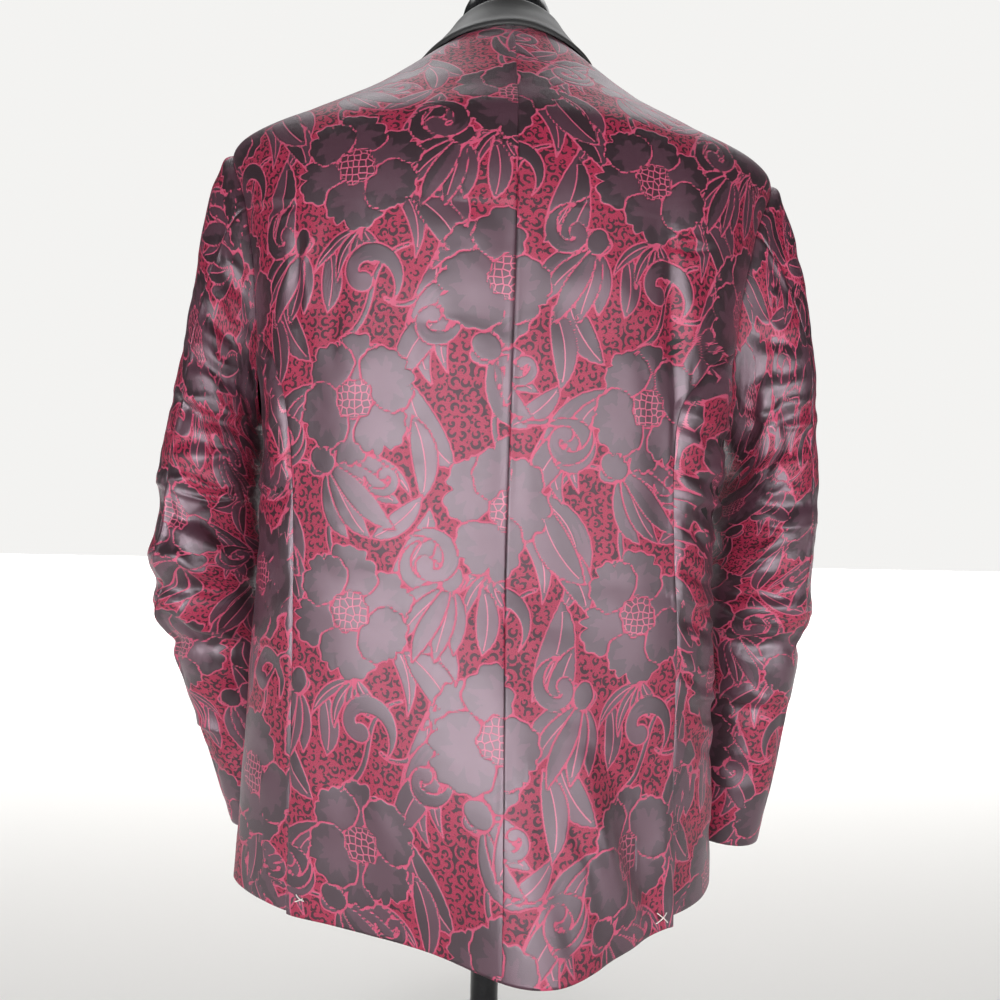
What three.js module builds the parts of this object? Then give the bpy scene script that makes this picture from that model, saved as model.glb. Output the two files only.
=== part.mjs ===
// A tuxedo jacket of floral brocade with a black satin shawl collar, worn by a smooth limbless
// dress form on a pole and a round base. Millimetres, +Z up, the base stands on Z = 0. The jacket
// faces -Y, so its back is at +Y and the wearer's left is at +X.
//
// The body of the jacket is one cloth surface. A point on it is given by a turn round the figure
// (0 is the wearer's left side, 90 degrees the centre back) and by v, the distance up the cloth
// from the hem. Every cut piece is a region of that surface, given 2 mm of thickness.
import * as THREE from "three";

const WALL = 2; // brocade with its canvas and lining
const SEAM_GAP = 0.3; // between neighbouring pieces
const HEM_Z = 224;
const NECK_V = 815; // v of the neck seam, from the hem at v = 0
const SHOULDER_V = 640; // v of the shoulder point, the top of the armhole
const UNDERARM_V = 404; // v of the bottom of the armhole
const SEAM_TOP_V = 472; // v where the side seams run into the armhole
const VENT_V = 205; // v of the top of the side vents
const BREAK_V = 286; // v where the fronts open and the lapels begin
const BUTTON_V = 252;
const SHOULDER_SEAM_TURN = 6; // degrees behind the side line

// Girths of the cloth from hem to neck. left, right, back and front are the reach from the axis,
// and the square columns say how boxy that quarter is (2 is an ellipse).
const GIRTHS = table(
  ["v", "left", "right", "back", "front", "zSide", "zBack", "zFront", "squareLeft", "squareRight", "squareFront"],
  [
    [0, 224, 203, 122, 128, HEM_Z, HEM_Z, HEM_Z, 1.5, 1.85, 2.1],
    [76, 220, 202, 123, 126, 300, 300, 300, 1.65, 1.95, 2.1],
    [176, 214, 199, 120, 119, 400, 400, 400, 1.95, 2.2, 2.1],
    [276, 208, 195, 115, 113, 500, 500, 500, 2.2, 2.4, 2.1],
    [340, 208, 199, 118, 118, 564, 564, 564, 2.3, 2.4, 2.1],
    [404, 210, 205, 126, 127, 628, 628, 628, 2.35, 2.35, 2.2],
    [500, 214, 212, 134, 130, 722, 722, 722, 2.3, 2.3, 2.3],
    [580, 226, 229, 136, 122, 800, 796, 790, 2.1, 2.1, 2.3],
    [642, 238, 245, 127, 106, 855, 848, 832, 1.72, 1.72, 2.2],
    [690, 198, 201, 111, 90, 880, 879, 862, 1.58, 1.58, 2.1],
    [740, 146, 147, 96, 78, 905, 908, 886, 1.45, 1.45, 2.0],
    [785, 99, 100, 80, 66, 928, 935, 906, 1.6, 1.6, 2.0],
    [NECK_V, 70, 70, 66, 58, 941, 950, 915, 1.95, 1.95, 2.0],
  ],
);

// Soft folds of the back. Each runs along the line x(v), and swells out or in by swell(v).
const BACK_FOLDS = [
  { width: 60, line: [[0, -30], [260, -5]], swell: [[0, 48], [90, 30], [180, 12], [270, 0]] },
  { width: 19, line: [[200, -128], [420, -126], [620, -112]], swell: [[230, 0], [400, -4], [520, -5], [620, 0]] },
  { width: 19, line: [[200, 150], [420, 152], [620, 140]], swell: [[260, 0], [420, -3], [520, -3], [620, 0]] },
  { width: 24, line: [[0, -100], [230, -45]], swell: [[0, 4], [80, 6], [180, 3], [240, 0]] },
];

// Where the side seams, the front edge and the lapel run: x at v. Below the break the left front
// laps over the right by the amount its edge lies past the centre.
const SIDE_BACK_LEFT = [[0, 164], [200, 164], [340, 167], [410, 174], [446, 186]];
const SIDE_BACK_RIGHT = [[0, 137], [100, 138], [226, 142], [336, 136], [410, 138], [446, 162]];
const SIDE_FRONT = [[0, 186], [276, 178], [380, 184], [446, 190]];
const FRONT_EDGE = [
  [0, 96], [10, 74], [30, 50], [60, 29], [110, 8], [170, -9], [230, -19], [BREAK_V, -20],
  [320, -9], [404, 16], [500, 31], [580, 43], [642, 51], [740, 58], [NECK_V, 60],
];
const LAPEL_WIDTH = [
  [BREAK_V, 3], [300, 16], [340, 40], [404, 62], [500, 79], [580, 82], [642, 78], [740, 66], [NECK_V, 56],
];

// Armhole: how far it opens behind and in front of the side line, in degrees.
const ARMHOLE_BACK = 13;
const ARMHOLE_FRONT = 27;

// Sleeves, ring by ring from the shoulder to the cuff. x is outward. A ring is an oval: half is
// its half width along the outward direction, tipped up by tilt degrees, depth is its half width
// front to back, and yaw turns it about the vertical, forward when negative.
const SLEEVE_COLUMNS = ["s", "x", "y", "z", "tilt", "half", "depth", "yaw"];
const SLEEVE_LEFT = table(SLEEVE_COLUMNS, [
  [0, 222, -5, 738, 82, 118, 64, 0],
  [18, 229, -5, 730, 79.7, 114, 66, 0],
  [40, 234, -5, 717, 77.6, 106, 67, 0],
  [75, 237, -6, 698, 75, 94, 67, 0],
  [125, 239, -8, 667, 70, 79, 67, 0],
  [170, 243, -9, 638, 63, 66, 67, 0],
  [215, 247, -9, 609, 53, 56, 66, 0],
  [260, 252, -9, 578, 41, 50, 65, 0],
  [305, 256, -9, 547, 29, 44, 64, 0],
  [350, 257, -11, 517, 17, 42, 63, -2],
  [390, 257, -16, 490, 9, 42, 62, -6],
  [435, 254, -31, 457, 3, 42, 60, -15],
  [480, 248, -57, 422, 0, 42, 58, -30],
  [535, 238, -79, 374, 0, 41, 56, -40],
  [592, 225, -92, 319, 0, 39, 54, -46],
  [640, 214, -102, 272, 0, 37, 53, -50],
  [677, 204, -110, 236, 0, 36, 52, -53],
]);
const SLEEVE_RIGHT = table(SLEEVE_COLUMNS, [
  [0, 229, -5, 738, 82, 118, 64, 0],
  [18, 236, -5, 730, 79.7, 114, 66, 0],
  [40, 242, -5, 717, 77.6, 107, 67, 0],
  [75, 246, -6, 698, 75, 97, 67, 0],
  [125, 250, -8, 667, 70, 84, 67, 0],
  [170, 252, -9, 638, 63, 73, 67, 0],
  [215, 252, -9, 609, 53, 62, 66, 0],
  [260, 252, -9, 578, 41, 55, 65, 0],
  [305, 252, -9, 547, 29, 48, 64, 0],
  [350, 251, -11, 517, 17, 46, 63, -2],
  [390, 249, -15, 490, 9, 46, 62, -4],
  [435, 249, -24, 457, 3, 45, 60, -7],
  [480, 251, -36, 422, 0, 43, 58, -10],
  [535, 250, -50, 373, 0, 41, 56, -13],
  [592, 246, -61, 317, 0, 39, 54, -16],
  [640, 241, -70, 269, 0, 37, 53, -18],
  [677, 237, -77, 232, 0, 36, 52, -20],
]);
const SLEEVE_SETTLES = 150; // by this s the armhole's own curve has become the plain oval
const SLEEVE_BACK_SEAM = 62; // degrees round the sleeve from its outer line, towards the back
const SLEEVE_FRONT_SEAM = 292;
// Folds of the sleeves: at s and turn, spread over along and round, swelling by out.
const SLEEVE_FOLDS_LEFT = [
  { s: 8, turn: 0, along: 9, round: 75, out: 2.5 },
  { s: 372, turn: 80, along: 20, round: 62, out: 7 },
  { s: 402, turn: 95, along: 12, round: 55, out: -9 },
  { s: 440, turn: 70, along: 18, round: 50, out: 5 },
  { s: 476, turn: 60, along: 10, round: 60, out: -5 },
  { s: 300, turn: 130, along: 26, round: 40, out: -5 },
];
const SLEEVE_FOLDS_RIGHT = [
  { s: 8, turn: 0, along: 9, round: 75, out: 2.5 },
  { s: 330, turn: 110, along: 34, round: 40, out: 7 },
  { s: 392, turn: 120, along: 18, round: 45, out: -8 },
  { s: 430, turn: 60, along: 24, round: 45, out: 4 },
  { s: 470, turn: 75, along: 14, round: 50, out: -4 },
];

// Collar: the stand rises from the neck seam, the fall folds over it.
const STAND_RISE = 30;
const STAND_LEAN_SIDE = 23; // how far the fold line leans in over the neck
const STAND_LEAN_BACK = 18;
const FALL_COVER = 11; // how far the fall reaches below the neck seam at the back

// Dress form and stand.
const FORM_BOTTOM_V = 40;
const NECK_RADIUS = 42;
const NECK_Y = -10;
const NECK_TOP_Z = 990; // centre of the round neck top
const FORM_INSET = [[0, 30], [176, 26], [276, 24], [404, 18], [500, 12], [580, 6], [642, 4], [690, 3], [NECK_V, 3]];
const POLE_RADIUS = 12.5;
const BASE_RADIUS = 150;
const BASE_HEIGHT = 14;
const SOCKET_RADIUS = 21;
const SOCKET_HEIGHT = 30;
const TOUCH = 0.3;

const BROCADE = new THREE.MeshStandardMaterial({ color: 0x8c1f3c, roughness: 0.5, metalness: 0 });
const SATIN = new THREE.MeshStandardMaterial({ color: 0x1b1c1c, roughness: 0.35, metalness: 0 });
const FORM_BLACK = new THREE.MeshStandardMaterial({ color: 0x0b0b0c, roughness: 0.2, metalness: 0 });
const METAL_BLACK = new THREE.MeshStandardMaterial({ color: 0x101011, roughness: 0.4, metalness: 0.6 });

function table(columns, rows) {
  return rows.map((row) => Object.fromEntries(columns.map((name, i) => [name, row[i]])));
}

// A smooth curve through points [[at, value], ...]; outside them it keeps its end value.
function smooth(points) {
  const at = points.map((p) => p[0]);
  const value = points.map((p) => p[1]);
  const last = at.length - 1;
  const slope = at.map((_, i) => {
    const a = Math.max(i - 1, 0);
    const b = Math.min(i + 1, last);
    return (value[b] - value[a]) / (at[b] - at[a]);
  });
  return (x) => {
    if (x <= at[0]) return value[0];
    if (x >= at[last]) return value[last];
    let i = 0;
    while (x > at[i + 1]) i += 1;
    const h = at[i + 1] - at[i];
    const t = (x - at[i]) / h;
    const s = 1 - t;
    return (
      s * s * (1 + 2 * t) * value[i] +
      t * t * (3 - 2 * t) * value[i + 1] +
      h * t * s * (s * slope[i] - t * slope[i + 1])
    );
  };
}

const column = (rows, key, name) => smooth(rows.map((row) => [row[key], row[name]]));
const columns = (rows, key) =>
  Object.fromEntries(Object.keys(rows[0]).map((name) => [name, column(rows, key, name)]));
const radians = (degrees) => (degrees * Math.PI) / 180;
const mix = (a, b, t) => a + (b - a) * t;
const step = (low, high, x) => {
  const t = Math.min(1, Math.max(0, (x - low) / (high - low)));
  return t * t * (3 - 2 * t);
};

const girth = columns(GIRTHS, "v");
const backFolds = BACK_FOLDS.map((f) => ({ ...f, at: smooth(f.line), out: smooth(f.swell) }));

// The cloth surface without folds, and with them.
function plainPoint(turn, v) {
  const c = Math.cos(turn);
  const s = Math.sin(turn);
  const square = s < 0 ? girth.squareFront(v) : c < 0 ? girth.squareRight(v) : girth.squareLeft(v);
  const power = 2 / square;
  const wide = c < 0 ? girth.right(v) : girth.left(v);
  const deep = s < 0 ? girth.front(v) : girth.back(v);
  const end = s < 0 ? girth.zFront(v) : girth.zBack(v);
  return new THREE.Vector3(
    Math.sign(c) * wide * Math.abs(c) ** power,
    Math.sign(s) * deep * Math.abs(s) ** power,
    girth.zSide(v) * c * c + end * s * s,
  );
}

function clothPoint(turn, v) {
  const p = plainPoint(turn, v);
  if (p.y <= 0) return p;
  let out = 0;
  for (const fold of backFolds) {
    const away = (p.x - fold.at(v)) / fold.width;
    out += fold.out(v) * Math.exp(-away * away);
  }
  const facing = new THREE.Vector3(p.x / girth.left(v) ** 2, p.y / girth.back(v) ** 2, 0).normalize();
  const fade = step(0, 25, p.y);
  return p.addScaledVector(facing, out * fade);
}

function normalOf(point, a, b, da, db) {
  const along = point(a + da, b).sub(point(a - da, b));
  const up = point(a, b + db).sub(point(a, b - db));
  return along.cross(up).normalize();
}
const clothNormal = (turn, v) =>
  normalOf(clothPoint, turn, Math.min(Math.max(v, 0.6), NECK_V - 0.6), 0.004, 0.5);

// The turn at which the girth at v has that x, on the back or the front half.
function turnAt(v, x, half) {
  const square = half < 0 ? girth.squareFront(v) : x < 0 ? girth.squareRight(v) : girth.squareLeft(v);
  const wide = x < 0 ? girth.right(v) : girth.left(v);
  const turn = Math.acos(Math.min(1, Math.abs(x) / wide) ** (square / 2));
  return half * (x < 0 ? Math.PI - turn : turn);
}
const turnPerMm = (turn, v) =>
  0.01 / clothPoint(turn + 0.005, v).distanceTo(clothPoint(turn - 0.005, v));

// The armhole of one side (1 left, -1 right): phi is 0 at the shoulder and 90 degrees at the back.
function armhole(phi, side) {
  const c = Math.cos(phi);
  const s = Math.sin(phi);
  const v = mix(UNDERARM_V, SHOULDER_V, (1 + c) / 2);
  const open = radians(s > 0 ? ARMHOLE_BACK : ARMHOLE_FRONT);
  const turn = radians(SHOULDER_SEAM_TURN) * (1 + c) * 0.5 + open * s;
  return { turn: side > 0 ? turn : Math.PI - turn, v };
}
const phiAtV = (v) => Math.acos(Math.min(1, Math.max(-1, (2 * v - UNDERARM_V - SHOULDER_V) / (SHOULDER_V - UNDERARM_V))));

// The edge of a front or back piece at the side: seam, then armhole, then shoulder seam.
function sideEdge(seamLine, half, side) {
  const seamX = smooth(seamLine);
  const phiTop = half > 0 ? phiAtV(SEAM_TOP_V) : 2 * Math.PI - phiAtV(SEAM_TOP_V);
  const top = armhole(phiTop, side);
  const bend = 446;
  return (v) => {
    if (v >= SHOULDER_V) return side > 0 ? radians(SHOULDER_SEAM_TURN) : Math.PI - radians(SHOULDER_SEAM_TURN);
    if (v >= SEAM_TOP_V) {
      const phi = phiAtV(v);
      return armhole(half > 0 ? phi : 2 * Math.PI - phi, side).turn;
    }
    const below = turnAt(Math.min(v, bend), side * seamX(v), half);
    const wrapped = below < -Math.PI / 2 && side < 0 ? below + 2 * Math.PI : below;
    return v <= bend ? wrapped : mix(wrapped, top.turn, ((v - bend) / (SEAM_TOP_V - bend)) ** 1.4);
  };
}

// A closed wall from two grids of points, outer[i][j] and inner[i][j].
function wallGeometry(outer, inner) {
  const across = outer.length;
  const up = outer[0].length;
  const position = [];
  for (const grid of [outer, inner]) for (const line of grid) for (const p of line) position.push(p.x, p.y, p.z);
  const at = (layer, i, j) => (layer * across + i) * up + j;
  const index = [];
  const face = (a, b, c, d) => index.push(a, b, c, a, c, d);
  for (let i = 0; i < across - 1; i += 1) {
    for (let j = 0; j < up - 1; j += 1) {
      face(at(0, i, j), at(0, i + 1, j), at(0, i + 1, j + 1), at(0, i, j + 1));
      face(at(1, i, j), at(1, i, j + 1), at(1, i + 1, j + 1), at(1, i + 1, j));
    }
    face(at(0, i + 1, 0), at(0, i, 0), at(1, i, 0), at(1, i + 1, 0));
    face(at(0, i, up - 1), at(0, i + 1, up - 1), at(1, i + 1, up - 1), at(1, i, up - 1));
  }
  for (let j = 0; j < up - 1; j += 1) {
    face(at(0, 0, j), at(0, 0, j + 1), at(1, 0, j + 1), at(1, 0, j));
    face(at(0, across - 1, j), at(1, across - 1, j), at(1, across - 1, j + 1), at(0, across - 1, j + 1));
  }
  const geometry = new THREE.BufferGeometry();
  geometry.setAttribute("position", new THREE.BufferAttribute(new Float32Array(position), 3));
  geometry.setIndex(index);
  return geometry;
}

// The grids of a piece of the cloth surface. place(i, j) gives turn, v and lift off the surface,
// and i runs the way the turn grows.
function clothWall(across, up, place, thickness = WALL) {
  const outer = [];
  const inner = [];
  for (let i = 0; i < across; i += 1) {
    outer.push([]);
    inner.push([]);
    for (let j = 0; j < up; j += 1) {
      const { turn, v, lift = 0 } = place(i, j);
      const n = clothNormal(turn, v);
      const p = clothPoint(turn, v);
      outer[i].push(p.clone().addScaledVector(n, lift));
      inner[i].push(p.clone().addScaledVector(n, lift - thickness));
    }
  }
  return wallGeometry(outer, inner);
}

// Rows of v shared by all pieces, so that both sides of a seam bend alike.
const spread = (from, to, count) => Array.from({ length: count }, (_, k) => mix(from, to, k / count));
const SKIRT_ROWS = [0, 18, ...spread(44, SEAM_TOP_V, 9)];
const ARMHOLE_ROWS = spread(0, 1, 6).map((t) => {
  const phi = mix(phiAtV(SEAM_TOP_V), 0, t);
  return mix(UNDERARM_V, SHOULDER_V, (1 + Math.cos(phi)) / 2);
});
const SHOULDER_ROWS = [...spread(SHOULDER_V, NECK_V, 6), NECK_V];
const ROWS = [...SKIRT_ROWS, ...ARMHOLE_ROWS, ...SHOULDER_ROWS];

function panel(across, from, to, lift) {
  return clothWall(across, ROWS.length, (i, j) => {
    const v = ROWS[j];
    const a = from(v) + (SEAM_GAP / 2) * turnPerMm(from(v), v);
    const b = to(v) - (SEAM_GAP / 2) * turnPerMm(to(v), v);
    const turn = mix(a, b, i / (across - 1));
    return { turn, v, lift: lift ? lift(turn, v) : 0 };
  });
}

const edges = {
  backLeft: sideEdge(SIDE_BACK_LEFT, 1, 1),
  backRight: sideEdge(SIDE_BACK_RIGHT, 1, -1),
  frontLeft: sideEdge(SIDE_FRONT, -1, 1),
  frontRight: sideEdge(SIDE_FRONT, -1, -1),
};

const centreBack = () => Math.PI / 2;
const frontEdgeX = smooth(FRONT_EDGE);
const frontEdgeLeft = (v) => turnAt(v, frontEdgeX(v), -1);
const frontEdgeRight = (v) => {
  const turn = turnAt(v, -frontEdgeX(v), -1);
  return turn + 2 * Math.PI;
};

// The left front is lifted by its own thickness where it laps over the right one.
const LAP = WALL + 2 * SEAM_GAP;
function lapLift(turn, v) {
  const x = plainPoint(turn, v).x;
  return LAP * (1 - step(26, 100, x)) * (1 - step(BREAK_V + 90, BREAK_V + 290, v));
}

// The back stands away from the side along the open vents, most at the hem.
const VENT_GAPE_LEFT = 3;
const VENT_GAPE_RIGHT = 8;
function backLift(side) {
  const edge = side > 0 ? edges.backLeft : edges.backRight;
  const gape = side > 0 ? VENT_GAPE_LEFT : VENT_GAPE_RIGHT;
  return (turn, v) => {
    const away = Math.abs(turn - edge(v)) / turnPerMm(turn, v);
    return gape * (1 - step(0, 42, away)) * (1 - step(0, VENT_V, v));
  };
}

function sidePanel(side) {
  const across = 9;
  const back = side > 0 ? edges.backLeft : edges.backRight;
  const front = side > 0 ? edges.frontLeft : edges.frontRight;
  const phiBack = phiAtV(SEAM_TOP_V);
  const rows = [...SKIRT_ROWS, SEAM_TOP_V];
  const place = (i, j) => {
    const t = side > 0 ? i / (across - 1) : 1 - i / (across - 1);
    const phi = mix(2 * Math.PI - phiBack, phiBack, t);
    const top = armhole(phi, side);
    const share = rows[j] / SEAM_TOP_V;
    const v = top.v * share;
    const seams = (at) => mix(front(at), back(at), t);
    const off = top.turn - seams(top.v);
    let turn = seams(v) + off * share ** 3;
    const inward = side > 0 ? 1 : -1;
    if (t === 0) turn += inward * (SEAM_GAP / 2) * turnPerMm(turn, v);
    if (t === 1) turn -= inward * (SEAM_GAP / 2) * turnPerMm(turn, v);
    return { turn, v };
  };
  return clothWall(across, rows.length, place);
}

// The vent's underlap: a strip behind the slit, from the hem to the top of the vent.
function underlap(side) {
  const edge = side > 0 ? edges.backLeft : edges.backRight;
  const rows = [4, ...spread(14, VENT_V, 6), VENT_V];
  const reachSide = 14;
  const reachBack = 34;
  const across = 5;
  return clothWall(across, rows.length, (i, j) => {
    const v = rows[j];
    const t = side > 0 ? i / (across - 1) : 1 - i / (across - 1);
    const away = mix(-reachSide, reachBack, t) * side;
    const turn = edge(v) + away * turnPerMm(edge(v), v);
    return { turn, v, lift: -WALL - 0.9 };
  });
}

function sleeveFoldAt(folds, phi, s) {
  let out = 0;
  for (const fold of folds) {
    let away = ((phi * 180) / Math.PI - fold.turn + 540) % 360;
    away -= 180;
    out += fold.out * Math.exp(-((away / fold.round) ** 2) - ((s - fold.s) / fold.along) ** 2);
  }
  return out;
}

// A sleeve's middle surface. phi runs from the outer line round the back.
function sleeveSurface(side) {
  const rings = columns(side > 0 ? SLEEVE_LEFT : SLEEVE_RIGHT, "s");
  const folds = side > 0 ? SLEEVE_FOLDS_LEFT : SLEEVE_FOLDS_RIGHT;
  const oval = (phi, s) => {
    const tilt = radians(rings.tilt(s));
    const yaw = radians(rings.yaw(s));
    const swell = sleeveFoldAt(folds, phi, s);
    const out = (rings.half(s) + swell) * Math.cos(phi);
    const back = (rings.depth(s) + swell) * Math.sin(phi);
    const level = out * Math.cos(tilt);
    return new THREE.Vector3(
      rings.x(s) + level * Math.cos(yaw) - back * Math.sin(yaw),
      rings.y(s) + level * Math.sin(yaw) + back * Math.cos(yaw),
      rings.z(s) + out * Math.sin(tilt),
    );
  };
  const start = (phi) => {
    const a = armhole(phi, side);
    const p = clothPoint(a.turn, a.v).addScaledVector(clothNormal(a.turn, a.v), WALL / 2 + SEAM_GAP + 0.15);
    return p.setX(p.x * side);
  };
  return (phi, s) => {
    const off = start(phi).sub(oval(phi, 0));
    const p = oval(phi, s).addScaledVector(off, 1 - step(0, SLEEVE_SETTLES, s));
    return p.setX(p.x * side);
  };
}

const SLEEVE_S = [0, 12, 30, 56, 88, 122, 156, 192, 230, 268, 306, 338, 362, 384, 404, 430, 462, 500, 550, 610, 677];

function sleeveWall(side, fromTurn, toTurn, count) {
  const surface = sleeveSurface(side);
  const outer = [];
  const inner = [];
  for (let i = 0; i < count; i += 1) {
    outer.push([]);
    inner.push([]);
    const edge = i === 0 ? 1 : i === count - 1 ? -1 : 0;
    for (const s of SLEEVE_S) {
      let phi = radians(mix(fromTurn, toTurn, i / (count - 1)));
      phi += (edge * SEAM_GAP * 0.5 * 0.02) / surface(phi + 0.01, s).distanceTo(surface(phi - 0.01, s));
      const n = normalOf(surface, phi, Math.min(Math.max(s, 1), 676), 0.02, 1).multiplyScalar(-side);
      const p = surface(phi, s);
      outer[i].push(p.clone().addScaledVector(n, WALL / 2));
      inner[i].push(p.clone().addScaledVector(n, -WALL / 2));
    }
  }
  if (side > 0) {
    outer.reverse();
    inner.reverse();
  }
  return wallGeometry(outer, inner);
}

// Stations of the collar and lapel on one side, from the break up to the centre back. roll is
// where it folds, edge its outer edge, both on the cloth; rise lifts the fold above it. The
// right lapel starts where it comes out from under the left front.
const LAPEL_DROP = 62; // how much lower than its roll point the outer edge lies near the neck
function collarStations(side) {
  const width = smooth(LAPEL_WIDTH);
  const list = [];
  const toSide = (turn) => (side > 0 ? turn : Math.PI - turn);
  const starts = side > 0 ? [BREAK_V + 4, 302, 320, 346] : [320, 328, 338, 354];
  for (const v of [...starts, 390, 440, 495, 550, 605, 660, 705, 745, 780]) {
    const edgeV = v - LAPEL_DROP * step(600, NECK_V, v);
    const roll = side > 0 ? frontEdgeX(v) : Math.max(frontEdgeX(v), 3 - frontEdgeX(v));
    list.push({
      roll: { turn: toSide(turnAt(v, roll, -1)), v },
      edge: { turn: toSide(turnAt(edgeV, frontEdgeX(v) + width(v), -1)), v: edgeV },
      rise: 0,
      hug: 1,
    });
  }
  const neckStart = frontEdgeLeft(NECK_V);
  const edgeStart = turnAt(NECK_V - LAPEL_DROP, frontEdgeX(NECK_V) + width(NECK_V), -1);
  const count = 14;
  for (let k = 0; k <= count; k += 1) {
    const t = k / count;
    const full = step(0, 0.42, t);
    list.push({
      roll: { turn: toSide(mix(neckStart, Math.PI / 2, t)), v: NECK_V },
      edge: {
        turn: toSide(mix(edgeStart, Math.PI / 2, t ** 0.9)),
        v: NECK_V - mix(LAPEL_DROP, FALL_COVER, full),
      },
      rise: full,
      hug: mix(3.5, 1, full),
    });
  }
  return list;
}

// The vector from the neck seam to the fold of the collar at that turn.
function riseAt(turn, rise) {
  const p = plainPoint(turn, NECK_V);
  const inward = new THREE.Vector3(-p.x, NECK_Y - p.y, 0).normalize();
  const lean = mix(STAND_LEAN_SIDE, STAND_LEAN_BACK, Math.sin(turn) ** 2);
  return inward.multiplyScalar(lean * rise).setZ(STAND_RISE * rise);
}

function fall() {
  const stations = [...collarStations(1), ...collarStations(-1).reverse().slice(1)];
  const across = 5;
  const base = (st, q) => {
    const turn = mix(st.roll.turn, st.edge.turn, q);
    const v = mix(st.roll.v, st.edge.v, q);
    const lift = turn < Math.PI / 2 ? lapLift(turn, v) : 0;
    const n = clothNormal(turn, v);
    return clothPoint(turn, v)
      .addScaledVector(n, lift)
      .addScaledVector(riseAt(st.roll.turn, st.rise), (1 - q) ** st.hug);
  };
  const grid = stations.map((st) => Array.from({ length: across }, (_, k) => base(st, k / (across - 1))));
  const shift = (i, j, by) => {
    const a = grid[Math.max(i - 1, 0)][j];
    const b = grid[Math.min(i + 1, grid.length - 1)][j];
    const c = grid[i][Math.max(j - 1, 0)];
    const d = grid[i][Math.min(j + 1, across - 1)];
    const n = b.clone().sub(a).cross(d.clone().sub(c)).normalize().multiplyScalar(-1);
    return grid[i][j].clone().addScaledVector(n, by);
  };
  const lower = 1.3;
  const outer = grid.map((line, i) => line.map((_, j) => shift(i, j, lower + 2.2)));
  const inner = grid.map((line, i) => line.map((_, j) => shift(i, j, lower)));
  return wallGeometry(inner, outer);
}

// The stand: a band from the neck seam up to just under the fold.
function stand() {
  const from = frontEdgeLeft(NECK_V) + radians(14);
  const across = 29;
  const up = 4;
  const outer = [];
  const inner = [];
  for (let i = 0; i < across; i += 1) {
    const turn = mix(from, Math.PI - from, i / (across - 1));
    const t = Math.abs(turn - Math.PI / 2) / (Math.PI / 2 - frontEdgeLeft(NECK_V));
    const rise = step(0, 0.42, 1 - t);
    const seam = plainPoint(turn, NECK_V);
    const full = riseAt(turn, rise);
    const dir = full.clone().normalize();
    const side = new THREE.Vector3(-dir.x, -dir.y, 0).normalize();
    const n = side.clone().multiplyScalar(dir.z).setZ(Math.hypot(dir.x, dir.y));
    outer.push([]);
    inner.push([]);
    for (let j = 0; j < up; j += 1) {
      const height = mix(SEAM_GAP * 1.5, full.length() - SEAM_GAP, j / (up - 1));
      const p = seam.clone().addScaledVector(dir, height);
      outer[i].push(p);
      inner[i].push(p.clone().addScaledVector(n, -1.8));
    }
  }
  return wallGeometry(outer, inner);
}

// A closed body from rings of points, each ring going round the same way, with flat ends.
function ringsGeometry(rings) {
  const count = rings[0].length;
  const position = [];
  for (const ring of rings) for (const p of ring) position.push(p.x, p.y, p.z);
  const index = [];
  for (let k = 0; k < rings.length - 1; k += 1) {
    for (let i = 0; i < count; i += 1) {
      const a = k * count + i;
      const b = k * count + ((i + 1) % count);
      index.push(a, b, b + count, a, b + count, a + count);
    }
  }
  const cap = (ring, base, up) => {
    const centre = position.length / 3;
    const mean = ring.reduce((sum, p) => sum.add(p), new THREE.Vector3()).divideScalar(count);
    position.push(mean.x, mean.y, mean.z);
    for (let i = 0; i < count; i += 1) {
      const a = base + i;
      const b = base + ((i + 1) % count);
      index.push(...(up ? [a, b, centre] : [b, a, centre]));
    }
  };
  cap(rings[0], 0, false);
  cap(rings[rings.length - 1], (rings.length - 1) * count, true);
  const geometry = new THREE.BufferGeometry();
  geometry.setAttribute("position", new THREE.BufferAttribute(new Float32Array(position), 3));
  geometry.setIndex(index);
  return geometry;
}

function dressForm() {
  const count = 32;
  const inset = smooth(FORM_INSET);
  const turns = Array.from({ length: count }, (_, i) => (i / count) * 2 * Math.PI);
  const rings = [];
  const torsoRows = [FORM_BOTTOM_V, ...ROWS.filter((v, k) => v > SHOULDER_V || (v > 90 && k % 2 === 0))];
  rings.push(
    turns.map((turn) => {
      const p = plainPoint(turn, FORM_BOTTOM_V);
      return new THREE.Vector3(p.x * 0.78, p.y * 0.7, HEM_Z + FORM_BOTTOM_V - 6);
    }),
  );
  for (const v of torsoRows) {
    rings.push(
      turns.map((turn) => {
        const at = Math.min(Math.max(v, 1), NECK_V - 1);
        const n = normalOf(plainPoint, turn, at, 0.004, 0.5);
        return plainPoint(turn, v).addScaledVector(n, -inset(v));
      }),
    );
  }
  const neckRing = (radius, z) =>
    turns.map((turn) => {
      const p = plainPoint(turn, NECK_V);
      const a = Math.atan2(p.y - NECK_Y, p.x);
      return new THREE.Vector3(radius * Math.cos(a), NECK_Y + radius * Math.sin(a), z);
    });
  rings.push(neckRing(50, 956), neckRing(44, 966), neckRing(NECK_RADIUS + 0.3, 977));
  for (const up of [0, 15, 30, 45, 60, 75]) {
    const a = radians(up);
    rings.push(neckRing(NECK_RADIUS * Math.cos(a), NECK_TOP_Z + NECK_RADIUS * Math.sin(a)));
  }
  return ringsGeometry(rings);
}

const lathe = (profile, segments) =>
  new THREE.LatheGeometry(profile.map(([r, z]) => new THREE.Vector2(r, z)), segments).rotateX(Math.PI / 2);

function basePlate() {
  return lathe(
    [[0, 0], [BASE_RADIUS - 2, 0], [BASE_RADIUS, 2], [BASE_RADIUS, 7], [BASE_RADIUS - 8, BASE_HEIGHT - 2],
      [BASE_RADIUS - 20, BASE_HEIGHT], [0, BASE_HEIGHT]],
    48,
  );
}

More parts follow.
